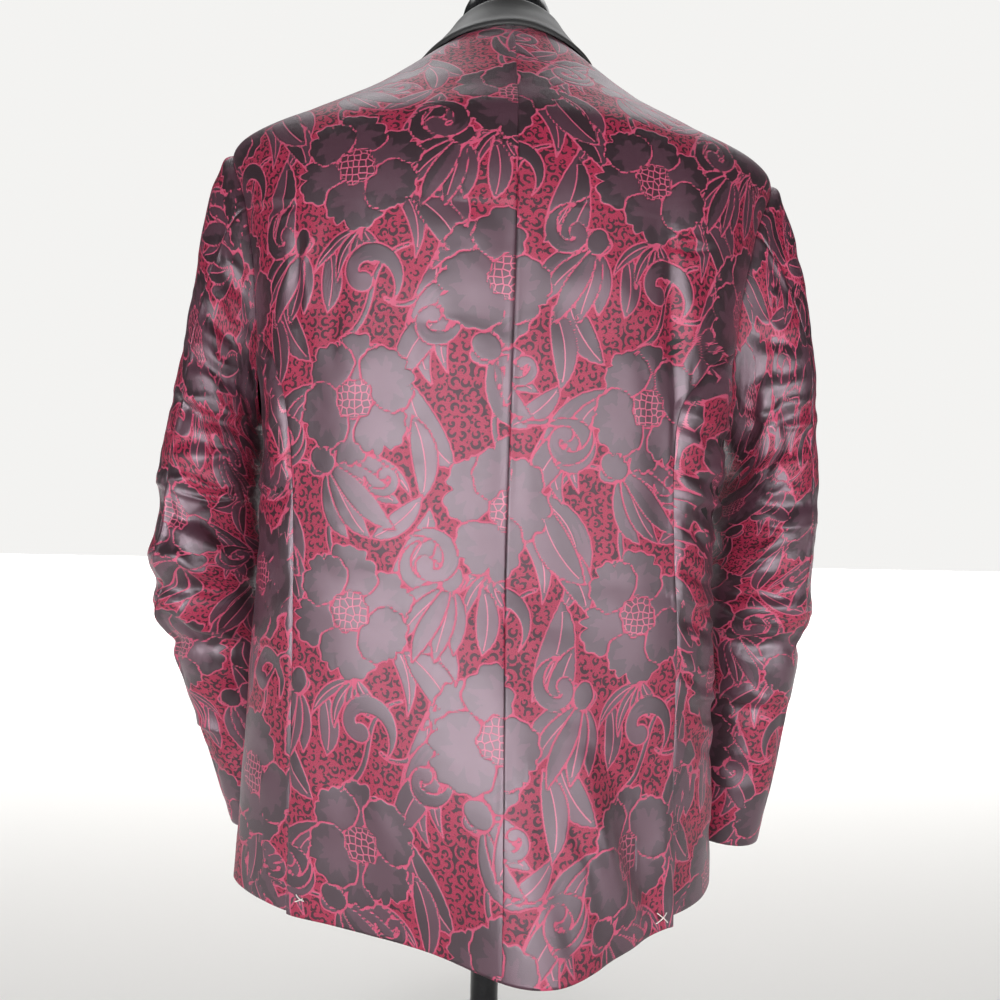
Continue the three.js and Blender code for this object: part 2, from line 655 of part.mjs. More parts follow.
function poleSocket() {
  const bottom = BASE_HEIGHT + TOUCH;
  const bore = POLE_RADIUS + TOUCH;
  return lathe(
    [[bore, bottom], [SOCKET_RADIUS + 8, bottom], [SOCKET_RADIUS + 8, bottom + 5], [SOCKET_RADIUS, bottom + 8],
      [SOCKET_RADIUS - 3, bottom + SOCKET_HEIGHT], [bore, bottom + SOCKET_HEIGHT], [bore, bottom]],
    32,
  );
}

function pole() {
  const bottom = BASE_HEIGHT + TOUCH;
  const top = HEM_Z + FORM_BOTTOM_V - 6 - TOUCH;
  return lathe([[0, bottom], [POLE_RADIUS, bottom], [POLE_RADIUS, top], [0, top]], 28);
}

function frontButton() {
  const turn = turnAt(BUTTON_V, 0.5, -1);
  const n = clothNormal(turn, BUTTON_V);
  const seat = clothPoint(turn, BUTTON_V).addScaledVector(n, LAP + 0.8);
  const shape = lathe([[0, 0], [8.6, 0], [10, 1.2], [9.6, 2.8], [7, 4], [0, 4.6]], 24);
  const turned = new THREE.Quaternion().setFromUnitVectors(new THREE.Vector3(0, 0, 1), n);
  return shape.applyQuaternion(turned).translate(seat.x, seat.y, seat.z);
}

const jacketOnForm = new THREE.Group();
function add(name, geometry, material) {
  const mesh = new THREE.Mesh(geometry, material);
  mesh.name = name;
  jacketOnForm.add(mesh);
}

const wrapFront = (edge) => (v) => {
  const turn = edge(v);
  return turn < 0 ? turn + 2 * Math.PI : turn;
};

add("back_left", panel(13, edges.backLeft, centreBack, backLift(1)), BROCADE);
add("back_right", panel(12, centreBack, edges.backRight, backLift(-1)), BROCADE);
add("side_left", sidePanel(1), BROCADE);
add("side_right", sidePanel(-1), BROCADE);
add("front_left", panel(12, frontEdgeLeft, edges.frontLeft, lapLift), BROCADE);
add("front_right", panel(12, wrapFront(edges.frontRight), wrapFront(frontEdgeRight)), BROCADE);
add("vent_underlap_left", underlap(1), BROCADE);
add("vent_underlap_right", underlap(-1), BROCADE);
for (const [name, side] of [["left", 1], ["right", -1]]) {
  add("top_sleeve_" + name, sleeveWall(side, SLEEVE_FRONT_SEAM - 360, SLEEVE_BACK_SEAM, 9), BROCADE);
  add("under_sleeve_" + name, sleeveWall(side, SLEEVE_BACK_SEAM, SLEEVE_FRONT_SEAM, 13), BROCADE);
}
add("shawl_collar", fall(), SATIN);
add("collar_stand", stand(), SATIN);
add("front_button", frontButton(), SATIN);
add("dress_form", dressForm(), FORM_BLACK);
add("stand_pole", pole(), METAL_BLACK);
add("pole_socket", poleSocket(), METAL_BLACK);
add("base_plate", basePlate(), METAL_BLACK);

export default jacketOnForm;
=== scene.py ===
import math

import bpy
import numpy as np
from mathutils import Matrix, Vector


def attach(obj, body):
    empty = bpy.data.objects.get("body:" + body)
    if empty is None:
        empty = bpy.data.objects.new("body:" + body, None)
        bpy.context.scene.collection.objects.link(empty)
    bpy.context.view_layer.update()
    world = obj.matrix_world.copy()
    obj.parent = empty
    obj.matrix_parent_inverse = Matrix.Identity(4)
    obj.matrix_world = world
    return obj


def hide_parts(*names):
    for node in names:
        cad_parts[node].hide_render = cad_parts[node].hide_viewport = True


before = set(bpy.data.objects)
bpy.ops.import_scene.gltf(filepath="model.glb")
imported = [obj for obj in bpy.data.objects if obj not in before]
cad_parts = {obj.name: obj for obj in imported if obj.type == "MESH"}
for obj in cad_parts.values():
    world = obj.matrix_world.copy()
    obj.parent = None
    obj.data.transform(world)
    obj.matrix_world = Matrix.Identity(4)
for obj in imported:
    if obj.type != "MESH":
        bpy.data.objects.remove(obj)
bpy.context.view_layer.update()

FINE = 2.05  # spacing of the cloth's grid on the back, in mm

# sizes, in mm, as the CAD model has them
WALL = 2.0
SEAM_GAP = 0.3
SEAM_SHOWN = 0.06  # the gap at a sewn seam, as it looks
HEM_Z = 224
NECK_V = 815
SHOULDER_V = 640
UNDERARM_V = 404
SEAM_TOP_V = 472
SEAM_BEND_V = 446
VENT_V = 205
BREAK_V = 286
BUTTON_V = 252
SHOULDER_SEAM_TURN = math.radians(6)
GIRTHS = [
    ("v", "left", "right", "back", "front", "zSide", "zBack", "zFront",
     "squareLeft", "squareRight", "squareFront"),
    (0, 224, 203, 122, 128, HEM_Z, HEM_Z, HEM_Z, 1.5, 1.85, 2.1),
    (76, 220, 202, 123, 126, 300, 300, 300, 1.65, 1.95, 2.1),
    (176, 214, 199, 120, 119, 400, 400, 400, 1.95, 2.2, 2.1),
    (276, 208, 195, 115, 113, 500, 500, 500, 2.2, 2.4, 2.1),
    (340, 208, 199, 118, 118, 564, 564, 564, 2.3, 2.4, 2.1),
    (404, 210, 205, 126, 127, 628, 628, 628, 2.35, 2.35, 2.2),
    (500, 214, 212, 134, 130, 722, 722, 722, 2.3, 2.3, 2.3),
    (580, 226, 229, 136, 122, 800, 796, 790, 2.1, 2.1, 2.3),
    (642, 238, 245, 127, 106, 855, 848, 832, 1.72, 1.72, 2.2),
    (690, 198, 201, 111, 90, 880, 879, 862, 1.58, 1.58, 2.1),
    (740, 146, 147, 96, 78, 905, 908, 886, 1.45, 1.45, 2.0),
    (785, 99, 100, 80, 66, 928, 935, 906, 1.6, 1.6, 2.0),
    (NECK_V, 70, 70, 66, 58, 941, 950, 915, 1.95, 1.95, 2.0),
]
BACK_FOLDS = [  # half width, then x and how far it swells, each by v
    (60, [(0, -30), (260, -5)], [(0, 48), (90, 30), (180, 12), (270, 0)]),
    (19, [(200, -128), (420, -126), (620, -112)], [(230, 0), (400, -4), (520, -5), (620, 0)]),
    (19, [(200, 150), (420, 152), (620, 140)], [(260, 0), (420, -3), (520, -3), (620, 0)]),
    (24, [(0, -100), (230, -45)], [(0, 4), (80, 6), (180, 3), (240, 0)]),
]
SIDE_BACK_LEFT = [(0, 164), (200, 164), (340, 167), (410, 174), (446, 186)]
SIDE_BACK_RIGHT = [(0, 137), (100, 138), (226, 142), (336, 136), (410, 138), (446, 162)]
SIDE_FRONT = [(0, 186), (276, 178), (380, 184), (446, 190)]
FRONT_EDGE = [
    (0, 96), (10, 74), (30, 50), (60, 29), (110, 8), (170, -9), (230, -19), (BREAK_V, -20),
    (320, -9), (404, 16), (500, 31), (580, 43), (642, 51), (740, 58), (NECK_V, 60),
]
LAPEL_WIDTH = [
    (BREAK_V, 3), (300, 16), (340, 40), (404, 62), (500, 79), (580, 82), (642, 78), (740, 66), (NECK_V, 56),
]
ARMHOLE_BACK = math.radians(13)
ARMHOLE_FRONT = math.radians(27)
SLEEVE_COLUMNS = ("s", "x", "y", "z", "tilt", "half", "depth", "yaw")
SLEEVE_LEFT = [
    SLEEVE_COLUMNS,
    (0, 222, -5, 738, 82, 118, 64, 0),
    (18, 229, -5, 730, 79.7, 114, 66, 0),
    (40, 234, -5, 717, 77.6, 106, 67, 0),
    (75, 237, -6, 698, 75, 94, 67, 0),
    (125, 239, -8, 667, 70, 79, 67, 0),
    (170, 243, -9, 638, 63, 66, 67, 0),
    (215, 247, -9, 609, 53, 56, 66, 0),
    (260, 252, -9, 578, 41, 50, 65, 0),
    (305, 256, -9, 547, 29, 44, 64, 0),
    (350, 257, -11, 517, 17, 42, 63, -2),
    (390, 257, -16, 490, 9, 42, 62, -6),
    (435, 254, -31, 457, 3, 42, 60, -15),
    (480, 248, -57, 422, 0, 42, 58, -30),
    (535, 238, -79, 374, 0, 41, 56, -40),
    (592, 225, -92, 319, 0, 39, 54, -46),
    (640, 214, -102, 272, 0, 37, 53, -50),
    (677, 204, -110, 236, 0, 36, 52, -53),
]
SLEEVE_RIGHT = [
    SLEEVE_COLUMNS,
    (0, 229, -5, 738, 82, 118, 64, 0),
    (18, 236, -5, 730, 79.7, 114, 66, 0),
    (40, 242, -5, 717, 77.6, 107, 67, 0),
    (75, 246, -6, 698, 75, 97, 67, 0),
    (125, 250, -8, 667, 70, 84, 67, 0),
    (170, 252, -9, 638, 63, 73, 67, 0),
    (215, 252, -9, 609, 53, 62, 66, 0),
    (260, 252, -9, 578, 41, 55, 65, 0),
    (305, 252, -9, 547, 29, 48, 64, 0),
    (350, 251, -11, 517, 17, 46, 63, -2),
    (390, 249, -15, 490, 9, 46, 62, -4),
    (435, 249, -24, 457, 3, 45, 60, -7),
    (480, 251, -36, 422, 0, 43, 58, -10),
    (535, 250, -50, 373, 0, 41, 56, -13),
    (592, 246, -61, 317, 0, 39, 54, -16),
    (640, 241, -70, 269, 0, 37, 53, -18),
    (677, 237, -77, 232, 0, 36, 52, -20),
]
SLEEVE_SETTLES = 150
SLEEVE_LENGTH = 677
SLEEVE_BACK_SEAM = 62
SLEEVE_FRONT_SEAM = 292
SLEEVE_FOLDS = {  # s, turn, along, round, out
    1: [(8, 0, 9, 75, 2.5), (372, 80, 20, 62, 7), (402, 95, 12, 55, -9), (440, 70, 18, 50, 5),
        (476, 60, 10, 60, -5), (300, 130, 26, 40, -5), (328, 178, 46, 36, 9)],
    -1: [(8, 0, 9, 75, 2.5), (330, 110, 34, 40, 7), (392, 120, 18, 45, -8), (430, 60, 24, 45, 4),
         (470, 75, 14, 50, -4)],
}
STAND_RISE = 30
STAND_LEAN_SIDE = 23
STAND_LEAN_BACK = 18
FALL_COVER = 11
LAPEL_DROP = 62
VENT_GAPE = {1: 3.0, -1: 8.0}
LAP = WALL + 2 * SEAM_GAP
FORM_BOTTOM_V = 40
FORM_FOOT_Z = HEM_Z + FORM_BOTTOM_V - 6
NECK_RADIUS = 42
NECK_Y = -10
NECK_TOP_Z = 990
NECK_CURVE = [(55, 951.5), (50, 956), (46.3, 961), (44, 966), (42.9, 971), (NECK_RADIUS + 0.3, 977)]
FORM_INSET = [(0, 30), (176, 26), (276, 24), (404, 18), (500, 12), (580, 6), (642, 4), (690, 3), (NECK_V, 3)]
POLE_RADIUS = 12.5
BASE_RADIUS = 150
BASE_HEIGHT = 14
SOCKET_RADIUS = 21
SOCKET_HEIGHT = 30
TOUCH = 0.3

# The photograph's view: distance from the axis, height, turn towards the wearer's left, roll.
EYE_DISTANCE = 680
EYE_Z = 560
EYE_TURN = math.radians(4.3)
EYE_ROLL = 0.0245
FOCAL_PX = 750
AXIS_PX = 496
PHOTO_PX = 1000
MIDDLE_PX = 500
HALF_TURN = np.array([-1, -1, 1])  # a face in front takes the creases of the one behind it


def smooth(points):
    at = np.array([p[0] for p in points], float)
    value = np.array([p[1] for p in points], float)
    last = len(at) - 1
    i = np.arange(last + 1)
    a, b = np.maximum(i - 1, 0), np.minimum(i + 1, last)
    slope = (value[b] - value[a]) / (at[b] - at[a])

    def curve(x):
        x = np.clip(np.asarray(x, float), at[0], at[last])
        k = np.clip(np.searchsorted(at, x, side="right") - 1, 0, last - 1)
        h = at[k + 1] - at[k]
        t = (x - at[k]) / h
        s = 1 - t
        return (s * s * (1 + 2 * t) * value[k] + t * t * (3 - 2 * t) * value[k + 1]
                + h * t * s * (s * slope[k] - t * slope[k + 1]))
    return curve


def columns(rows):
    names = rows[0]
    return {name: smooth([(row[0], row[i]) for row in rows[1:]]) for i, name in enumerate(names)}


def mix(a, b, t):
    return a + (b - a) * t


def step(low, high, x):
    t = np.clip((np.asarray(x, float) - low) / (high - low), 0, 1)
    return t * t * (3 - 2 * t)


def unit(p):
    return p / np.maximum(np.linalg.norm(p, axis=-1, keepdims=True), 1e-9)


girth = columns(GIRTHS)
back_folds = [(width, smooth(line), smooth(swell)) for width, line, swell in BACK_FOLDS]


def squareness(v, front, right):
    back = np.where(right, girth["squareRight"](v), girth["squareLeft"](v))
    return np.where(front, girth["squareFront"](v), back)


def plain_point(turn, v):
    """A point of the body's smooth form, by its turn about the axis and its height v over the hem."""
    turn, v = np.broadcast_arrays(np.asarray(turn, float), np.asarray(v, float))
    c, s = np.cos(turn), np.sin(turn)
    power = 2 / squareness(v, s < 0, c < 0)
    wide = np.where(c < 0, girth["right"](v), girth["left"](v))
    deep = np.where(s < 0, girth["front"](v), girth["back"](v))
    end = np.where(s < 0, girth["zFront"](v), girth["zBack"](v))
    return np.stack([np.sign(c) * wide * np.abs(c) ** power, np.sign(s) * deep * np.abs(s) ** power,
                     girth["zSide"](v) * c * c + end * s * s], -1)


def cloth_point(turn, v):
    """The same point with the back's large folds."""
    p = plain_point(turn, v)
    v = np.broadcast_to(v, p.shape[:-1])
    out = 0
    for width, line, swell in back_folds:
        out = out + swell(v) * np.exp(-((p[..., 0] - line(v)) / width) ** 2)
    facing = unit(np.stack([p[..., 0] / girth["left"](v) ** 2, p[..., 1] / girth["back"](v) ** 2, 0 * v], -1))
    return p + facing * (out * step(0, 25, p[..., 1]))[..., None]


def normal_of(point, a, b, da, db):
    along = point(a + da, b) - point(a - da, b)
    up = point(a, b + db) - point(a, b - db)
    return unit(np.cross(along, up))


def cloth_normal(turn, v):
    return normal_of(cloth_point, turn, np.clip(v, 0.6, NECK_V - 0.6), 0.004, 0.5)


def turn_at(v, x, half):
    v, x = np.broadcast_arrays(np.asarray(v, float), np.asarray(x, float))
    square = squareness(v, half < 0, x < 0)
    wide = np.where(x < 0, girth["right"](v), girth["left"](v))
    turn = np.arccos(np.minimum(1, np.abs(x) / wide) ** (square / 2))
    return half * np.where(x < 0, math.pi - turn, turn)


def turn_per_mm(turn, v):
    return 0.01 / np.linalg.norm(cloth_point(turn + 0.005, v) - cloth_point(turn - 0.005, v), axis=-1)


def armhole(phi, side):
    """The armhole's line: phi goes round it from its top, with the back first."""
    c, s = np.cos(phi), np.sin(phi)
    v = mix(UNDERARM_V, SHOULDER_V, (1 + c) / 2)
    turn = SHOULDER_SEAM_TURN * (1 + c) * 0.5 + np.where(s > 0, ARMHOLE_BACK, ARMHOLE_FRONT) * s
    return (turn if side > 0 else math.pi - turn), v


def phi_at_v(v):
    return np.arccos(np.clip((2 * v - UNDERARM_V - SHOULDER_V) / (SHOULDER_V - UNDERARM_V), -1, 1))


def side_edge(line, half, side):
    seam_x = smooth(line)
    phi_top = phi_at_v(SEAM_TOP_V)
    top = armhole(phi_top if half > 0 else 2 * math.pi - phi_top, side)[0]

    def edge(v):
        v = np.asarray(v, float)
        below = turn_at(np.minimum(v, SEAM_BEND_V), side * seam_x(v), half)
        if side < 0 and half < 0:
            below = below + 2 * math.pi
        above = np.clip(v - SEAM_BEND_V, 0, None) / (SEAM_TOP_V - SEAM_BEND_V)
        low = mix(below, top, above ** 1.4)
        phi = phi_at_v(v)
        hole = armhole(phi if half > 0 else 2 * math.pi - phi, side)[0]
        shoulder = SHOULDER_SEAM_TURN if side > 0 else math.pi - SHOULDER_SEAM_TURN
        return np.where(v < SEAM_TOP_V, low, np.where(v < SHOULDER_V, hole, shoulder))
    return edge


EDGE_BACK = {1: side_edge(SIDE_BACK_LEFT, 1, 1), -1: side_edge(SIDE_BACK_RIGHT, 1, -1)}
EDGE_FRONT = {1: side_edge(SIDE_FRONT, -1, 1), -1: side_edge(SIDE_FRONT, -1, -1)}
front_edge_x = smooth(FRONT_EDGE)
lapel_width = smooth(LAPEL_WIDTH)


def photo_px(p):
    """Where a point lands in the photograph, in its pixels."""
    x, y, z = p[..., 0], p[..., 1], p[..., 2] - EYE_Z
    c, s = math.cos(EYE_TURN), math.sin(EYE_TURN)
    d = EYE_DISTANCE - (x * s + y * c)
    xu = AXIS_PX + (-x * c + y * s) * FOCAL_PX / d
    yu = MIDDLE_PX - z * FOCAL_PX / d
    px = (xu + MIDDLE_PX * EYE_ROLL - EYE_ROLL * (yu - MIDDLE_PX * EYE_ROLL)) / (1 + EYE_ROLL ** 2)
    return px, yu + (px - MIDDLE_PX) * EYE_ROLL


# creases
# Each is given as a bent line in the photograph's pixels: its start, bend and end, its half
# width there, how far it swells out in mm, and a 1 where one side hangs over as a lip.
BACK_CREASES = [
    ((672, 232), (673, 330), (684, 500), 7, -3.4),
    ((656, 260), (654, 340), (668, 470), 10, 1.6),
    ((694, 250), (696, 340), (702, 440), 8, 1.8),
    ((742, 352), (752, 420), (738, 500), 8, -6.0),
    ((716, 470), (690, 486), (684, 540), 9, 3.5),
    ((686, 500), (712, 512), (742, 500), 9, -5.0, 1),
    ((682, 600), (704, 610), (722, 600), 8, -3.5, 1),
    ((682, 690), (702, 704), (720, 696), 9, -3.0, 1),
    ((256, 484), (272, 492), (292, 476), 7, -4.0, 1),
    ((258, 372), (262, 430), (258, 486), 7, -4.5),
    ((671, 245), (690, 252), (712, 249), 4.5, -3.0),
    ((247, 208), (272, 210), (303, 204), 4.5, -3.5),
    ((296, 226), (298, 265), (293, 320), 6, -3.5),
    ((310, 215), (315, 280), (318, 380), 12, 2.0),
    ((690, 428), (715, 436), (744, 456), 7, -4.0),
    ((684, 468), (706, 478), (736, 508), 7, -3.5),
    ((682, 520), (700, 530), (716, 560), 6, -3.0),
    ((682, 566), (698, 580), (716, 590), 6, -3.0),
    ((682, 616), (700, 624), (718, 642), 7, -2.8),
    ((680, 668), (698, 684), (720, 690), 6, -2.5),
    ((684, 722), (700, 744), (718, 760), 8, -2.5),
    ((676, 800), (690, 824), (712, 842), 9, -2.0),
    ((256, 430), (268, 470), (290, 520), 7, -3.0),
    ((258, 520), (270, 560), (288, 600), 8, -2.5),
    ((254, 640), (268, 668), (288, 690), 8, -2.2),
    ((248, 740), (264, 766), (286, 790), 9, -2.0),
    ((572, 740), (606, 850), (640, 965), 15, 4.0),
    ((600, 760), (640, 850), (668, 930), 16, -3.0),
    ((536, 800), (560, 880), (580, 985), 14, -2.5),
    ((340, 700), (352, 800), (346, 925), 22, -2.0),
    ((420, 640), (430, 760), (412, 940), 30, 2.2),
    ((508, 70), (509, 330), (507, 560), 16, -1.2),
    ((400, 180), (470, 210), (560, 196), 22, -1.2),
    ((420, 120), (440, 220), (430, 340), 26, 1.4),
    ((600, 130), (590, 230), (604, 350), 28, 1.4),
    ((340, 300), (420, 330), (500, 322), 26, -1.0),
    ((530, 300), (600, 340), (665, 330), 24, -1.2),
    ((330, 420), (400, 450), (470, 440), 24, 1.0),
    ((560, 560), (620, 590), (676, 582), 20, -1.4),
    ((300, 560), (350, 600), (420, 606), 20, -1.4),
    ((300, 520), (350, 540), (430, 545), 16, 1.2),
]
SLEEVE_CREASES = [
    ((148, 476), (200, 514), (254, 496), 15, -7.0, 1),
    ((150, 596), (196, 642), (244, 636), 13, -5.5, 1),
    ((176, 392), (214, 424), (254, 412), 10, -3.5, 1),
    ((180, 706), (214, 742), (246, 734), 11, -3.0, 1),
    ((744, 404), (778, 440), (818, 420), 11, -4.0, 1),
    ((742, 512), (776, 540), (818, 522), 12, -4.0, 1),
    ((722, 606), (762, 634), (806, 616), 12, -4.5, 1),
    ((720, 690), (750, 712), (790, 698), 11, -3.0, 1),
    ((762, 380), (768, 440), (756, 480), 8, 4.0),
    ((236, 160), (226, 190), (222, 250), 9, -2.0),
    ((212, 240), (222, 280), (246, 300), 7, -3.0),
    ((198, 300), (214, 330), (250, 350), 7, -3.5),
    ((186, 352), (210, 366), (252, 400), 7, -4.0),
    ((172, 398), (204, 420), (250, 430), 8, -4.5),
    ((166, 452), (198, 462), (250, 452), 8, 3.0),
    ((160, 484), (196, 502), (248, 496), 7, -6.0),
    ((156, 522), (192, 536), (236, 560), 8, 3.0),
    ((154, 560), (180, 578), (222, 590), 7, -3.5),
    ((158, 606), (190, 640), (238, 650), 7, -5.0),
    ((176, 640), (204, 676), (238, 690), 9, 3.0),
    ((192, 690), (214, 716), (240, 760), 8, -3.0),
    ((206, 740), (220, 780), (236, 820), 8, -2.5),
    ((776, 190), (784, 240), (780, 300), 9, -2.0),
    ((762, 240), (776, 280), (800, 300), 8, -2.5),
    ((748, 330), (776, 350), (806, 340), 8, -3.0),
    ((744, 390), (776, 392), (812, 376), 8, 2.6),
    ((746, 424), (782, 428), (816, 404), 7, -4.5),
    ((750, 470), (780, 476), (816, 452), 9, 2.6),
    ((756, 500), (786, 512), (816, 500), 8, -3.5),
    ((730, 560), (766, 566), (808, 548), 8, -4.0),
    ((722, 600), (760, 614), (806, 604), 7, 3.0),
    ((722, 640), (756, 652), (800, 640), 7, -4.5),
    ((722, 700), (750, 716), (786, 704), 8, -3.0),
    ((722, 760), (744, 778), (770, 772), 9, -2.0),
]


def crease_field(px, py, creases, grow=1.0):
    """How far creases move the cloth out, in mm. A lip's hollow lies on the right of its way."""
    out = np.zeros_like(px)
    for start, bend, end, width, depth, *lip in creases:
        reach = (6 if lip else 3.2) * width
        low = np.minimum(np.minimum(start, bend), end) - reach
        high = np.maximum(np.maximum(start, bend), end) + reach
        near = (px > low[0]) & (px < high[0]) & (py > low[1]) & (py < high[1])
        if not near.any():
            continue
        x, y = px[near], py[near]
        best = np.full(x.shape, 1e9)
        at, side = np.zeros(x.shape), np.zeros(x.shape)
        count = 14
        t = np.linspace(0, 1, count + 1)[:, None]
        curve = (1 - t) ** 2 * np.array(start) + 2 * t * (1 - t) * np.array(bend) + t * t * np.array(end)
        for k in range(count):
            a, b = curve[k], curve[k + 1]
            ab = b - a
            q = np.clip(((x - a[0]) * ab[0] + (y - a[1]) * ab[1]) / (ab @ ab), 0, 1)
            dx, dy = x - a[0] - q * ab[0], y - a[1] - q * ab[1]
            d = np.hypot(dx, dy)
            use = d < best
            best = np.where(use, d, best)
            at = np.where(use, (k + q) / count, at)
            side = np.where(use, np.sign(dx * ab[1] - dy * ab[0]), side)
        taper = np.sin(np.clip(at, 0.02, 0.98) * math.pi) ** 0.7
        wide = width * (0.75 + 0.5 * np.sin(at * 5.1 + start[0]) ** 2)
        r = best / wide
        if lip:  # cloth that hangs over: a sharp edge, and a hollow below it that fades
            over = 0.45 * np.exp(-r * np.where(side < 0, 3, 1.2))
            shape = np.where(side < 0, r * np.exp(1 - r), 0) - over
        else:
            shape = np.exp(-r * r) - 0.32 * np.exp(-((r - 1.75) / 0.7) ** 2) * (1 + 0.5 * side)
        out[near] += depth * grow * taper * shape
    return out


def ripples(u, v, size, seed):
    """Gentle unevenness: a few crossing waves of cloth, about 1 mm high at full size."""
    rng = np.random.default_rng(seed)
    out = np.zeros_like(u)
    for k in range(13):
        angle = rng.uniform(0, math.pi)
        length = rng.uniform(38, 120) if k < 7 else rng.uniform(16, 34)
        phase = rng.uniform(0, 2 * math.pi, 2)
        along = (u * math.cos(angle) + v * math.sin(angle)) * 2 * math.pi / length
        across = (-u * math.sin(angle) + v * math.cos(angle)) * 2 * math.pi / (length * 2.7)
        wave = np.sin(along + phase[0] + 0.8 * np.sin(across)) * np.sin(across + phase[1])
        out += rng.uniform(0.4, 1) * (1 if k < 7 else 0.13) * wave
    return size * out / 2.6


# the woven design
# Own motifs in a half-drop repeat: flowers of five or six petals, leaves, bell flowers and curls.
# They are kept as distances in mm over the cloth, and the material draws them from those.
REPEAT_U = 252.0
REPEAT_V = 340.0
LINE = 1.1  # how far inside a motif's edge its dark part begins


def wave_points(start, heading, bends, length, count=12):
    """A bent line: it starts at start, heading that way in degrees, and turns by bends on its way."""
    bend = smooth([(i / (len(bends) - 1), b) for i, b in enumerate(bends)])
    points = [np.array(start, float)]
    for k in range(count):
        angle = math.radians(heading + float(bend((k + 0.5) / count)))
        points.append(points[-1] + length / count * np.array([math.cos(angle), math.sin(angle)]))
    return np.array(points)


class Weave:
    def __init__(self, u, v):
        self.u, self.v = u, v
        self.mark = np.full(u.shape, -9.0)
        self.rib = np.full(u.shape, 9.0)
        self.tone = np.full(u.shape, -6.0)
        self.seed = np.full(u.shape, -9.0)

    def near(self, centre, reach):
        x = (self.u - centre[0] + REPEAT_U / 2) % REPEAT_U - REPEAT_U / 2
        y = (self.v - centre[1] + REPEAT_V / 2) % REPEAT_V - REPEAT_V / 2
        at = np.nonzero((np.abs(x) < reach) & (np.abs(y) < reach))
        return at, x[at], y[at]

    def paint(self, at, sd, rib, tone, seed=None):
        """Lays a motif over what is there; a line is left where it crosses an older one."""
        top = sd > 0
        mark = self.mark[at]
        below = np.where(mark > -LINE, np.minimum(mark, -sd - LINE), np.maximum(mark, sd - LINE))
        self.mark[at] = np.where(top, sd - LINE, below)
        self.rib[at] = np.where(top, rib, self.rib[at])
        self.tone[at] = np.where(top, tone, self.tone[at])
        self.seed[at] = np.where(top, -9.0 if seed is None else seed, self.seed[at])

    def stroke(self, points, radii, tone="half", rib=True):
        """A leaf, petal or stem: a bent line that is as thick as radii say."""
        centre = (points.min(0) + points.max(0)) / 2
        reach = (points.max(0) - points.min(0)).max() / 2 + max(radii) + 10
        at, x, y = self.near(centre, min(reach, REPEAT_U / 2))
        if not len(x):
            return
        p = points - centre
        n = len(p) - 1
        r = smooth([(i / (len(radii) - 1), q) for i, q in enumerate(radii)])(np.arange(n + 1) / n)
        sd = np.full(x.shape, -50.0)
        side = np.full(x.shape, 9.0)
        way = np.zeros(x.shape)
        for k in range(n):
            a, ab = p[k], p[k + 1] - p[k]
            q = np.clip(((x - a[0]) * ab[0] + (y - a[1]) * ab[1]) / (ab @ ab), 0, 1)
            dx, dy = x - a[0] - q * ab[0], y - a[1] - q * ab[1]
            d = mix(r[k], r[k + 1], q) - np.hypot(dx, dy)
            use = d > sd
            sd = np.where(use, d, sd)
            side = np.where(use, (dy * ab[0] - dx * ab[1]) / np.hypot(*ab), side)
            way = np.where(use, (k + q) / n, way)
        tones = {"half": side + 0.6, "plum": np.full(x.shape, 3.0), "dark": np.full(x.shape, -6.0),
                 "base": (0.5 - way) * 40 + 3 * np.sin(side * 1.3)}
        lines = np.where((way > 0.08) & (way < 0.9), side, 9.0) if rib else np.full(x.shape, 9.0)
        self.paint(at, sd, lines, tones[tone])

    def flower(self, centre, size, petals, turned, kind):
        """Petals that fan out and overlap, with frayed ends, round a seed head of small cells."""
        order = [0, 2, 4, 1, 3] if petals == 5 else [0, 3, 1, 4, 2, 5]
        for k in order:
            a = turned + 2 * math.pi * (k + 0.22 * math.sin(2.7 * k + kind)) / petals
            long = size * (0.47 + 0.06 * math.sin(1.9 * k + 2 * kind))
            wide = size * (0.49 + 0.06 * math.cos(2.3 * k + kind)) * (1.08 if petals == 5 else 0.94)
            c, s = math.cos(a), math.sin(a)
            reach = size * 1.2
            at, x, y = self.near(centre, reach)
            out, across = x * c + y * s - (size - long), y * c - x * s
            b = np.arctan2(across / wide, out / long)
            r = np.hypot(across / wide, out / long)
            tip = np.abs(np.cos(b / 2)) ** 2
            fray = (0.10 * np.abs(np.sin(2.6 * b + k)) ** 0.6 + 0.05 * np.cos(13 * b + k)) * tip
            notch = 0.26 * np.exp(-((b - 0.5 * math.sin(k + kind)) / 0.10) ** 2)
            notch = notch + 0.16 * np.exp(-((b + 0.75 + 0.2 * math.sin(2 * k)) / 0.08) ** 2)
            neck = 0.25 * step(-0.2, -1.0, np.cos(b))
            sd = (1 + fray - notch - neck - r) * min(long, wide) * 0.92
            flame = 0.62 + 0.16 * np.cos(7 * b + kind) + 0.10 * np.cos(15 * b + k)
            flame = flame - r * 0.9 - out / long * 0.25
            self.paint(at, sd, np.full(x.shape, 9.0), flame * size * (0.5 if k % 2 else 0.42))
        at, x, y = self.near(centre, size * 0.5)
        a = np.arctan2(y, x)
        uneven = 0.05 * np.cos(9 * a + kind) + 0.05 * np.cos(4 * a + 2 * kind)
        heart = size * 0.31 * (1 + uneven) - np.hypot(x, y)
        self.paint(at, heart, np.full(x.shape, 9.0), np.full(x.shape, -6.0), heart)

    def curl(self, centre, size, heading, hand):
        """A comma scroll: a spiral that thins from its round head and ends in a point."""
        t = np.linspace(0, 1, 26)
        angle = math.radians(heading) + hand * t * 5.2
        r = size * (0.16 + 0.84 * t ** 1.15)
        p = np.array(centre) + np.stack([r * np.cos(angle), r * np.sin(angle)], 1)
        thick = [size * q for q in (0.27, 0.21, 0.19, 0.24, 0.17)]
        self.stroke(p, thick + [0.4], "base", rib=False)

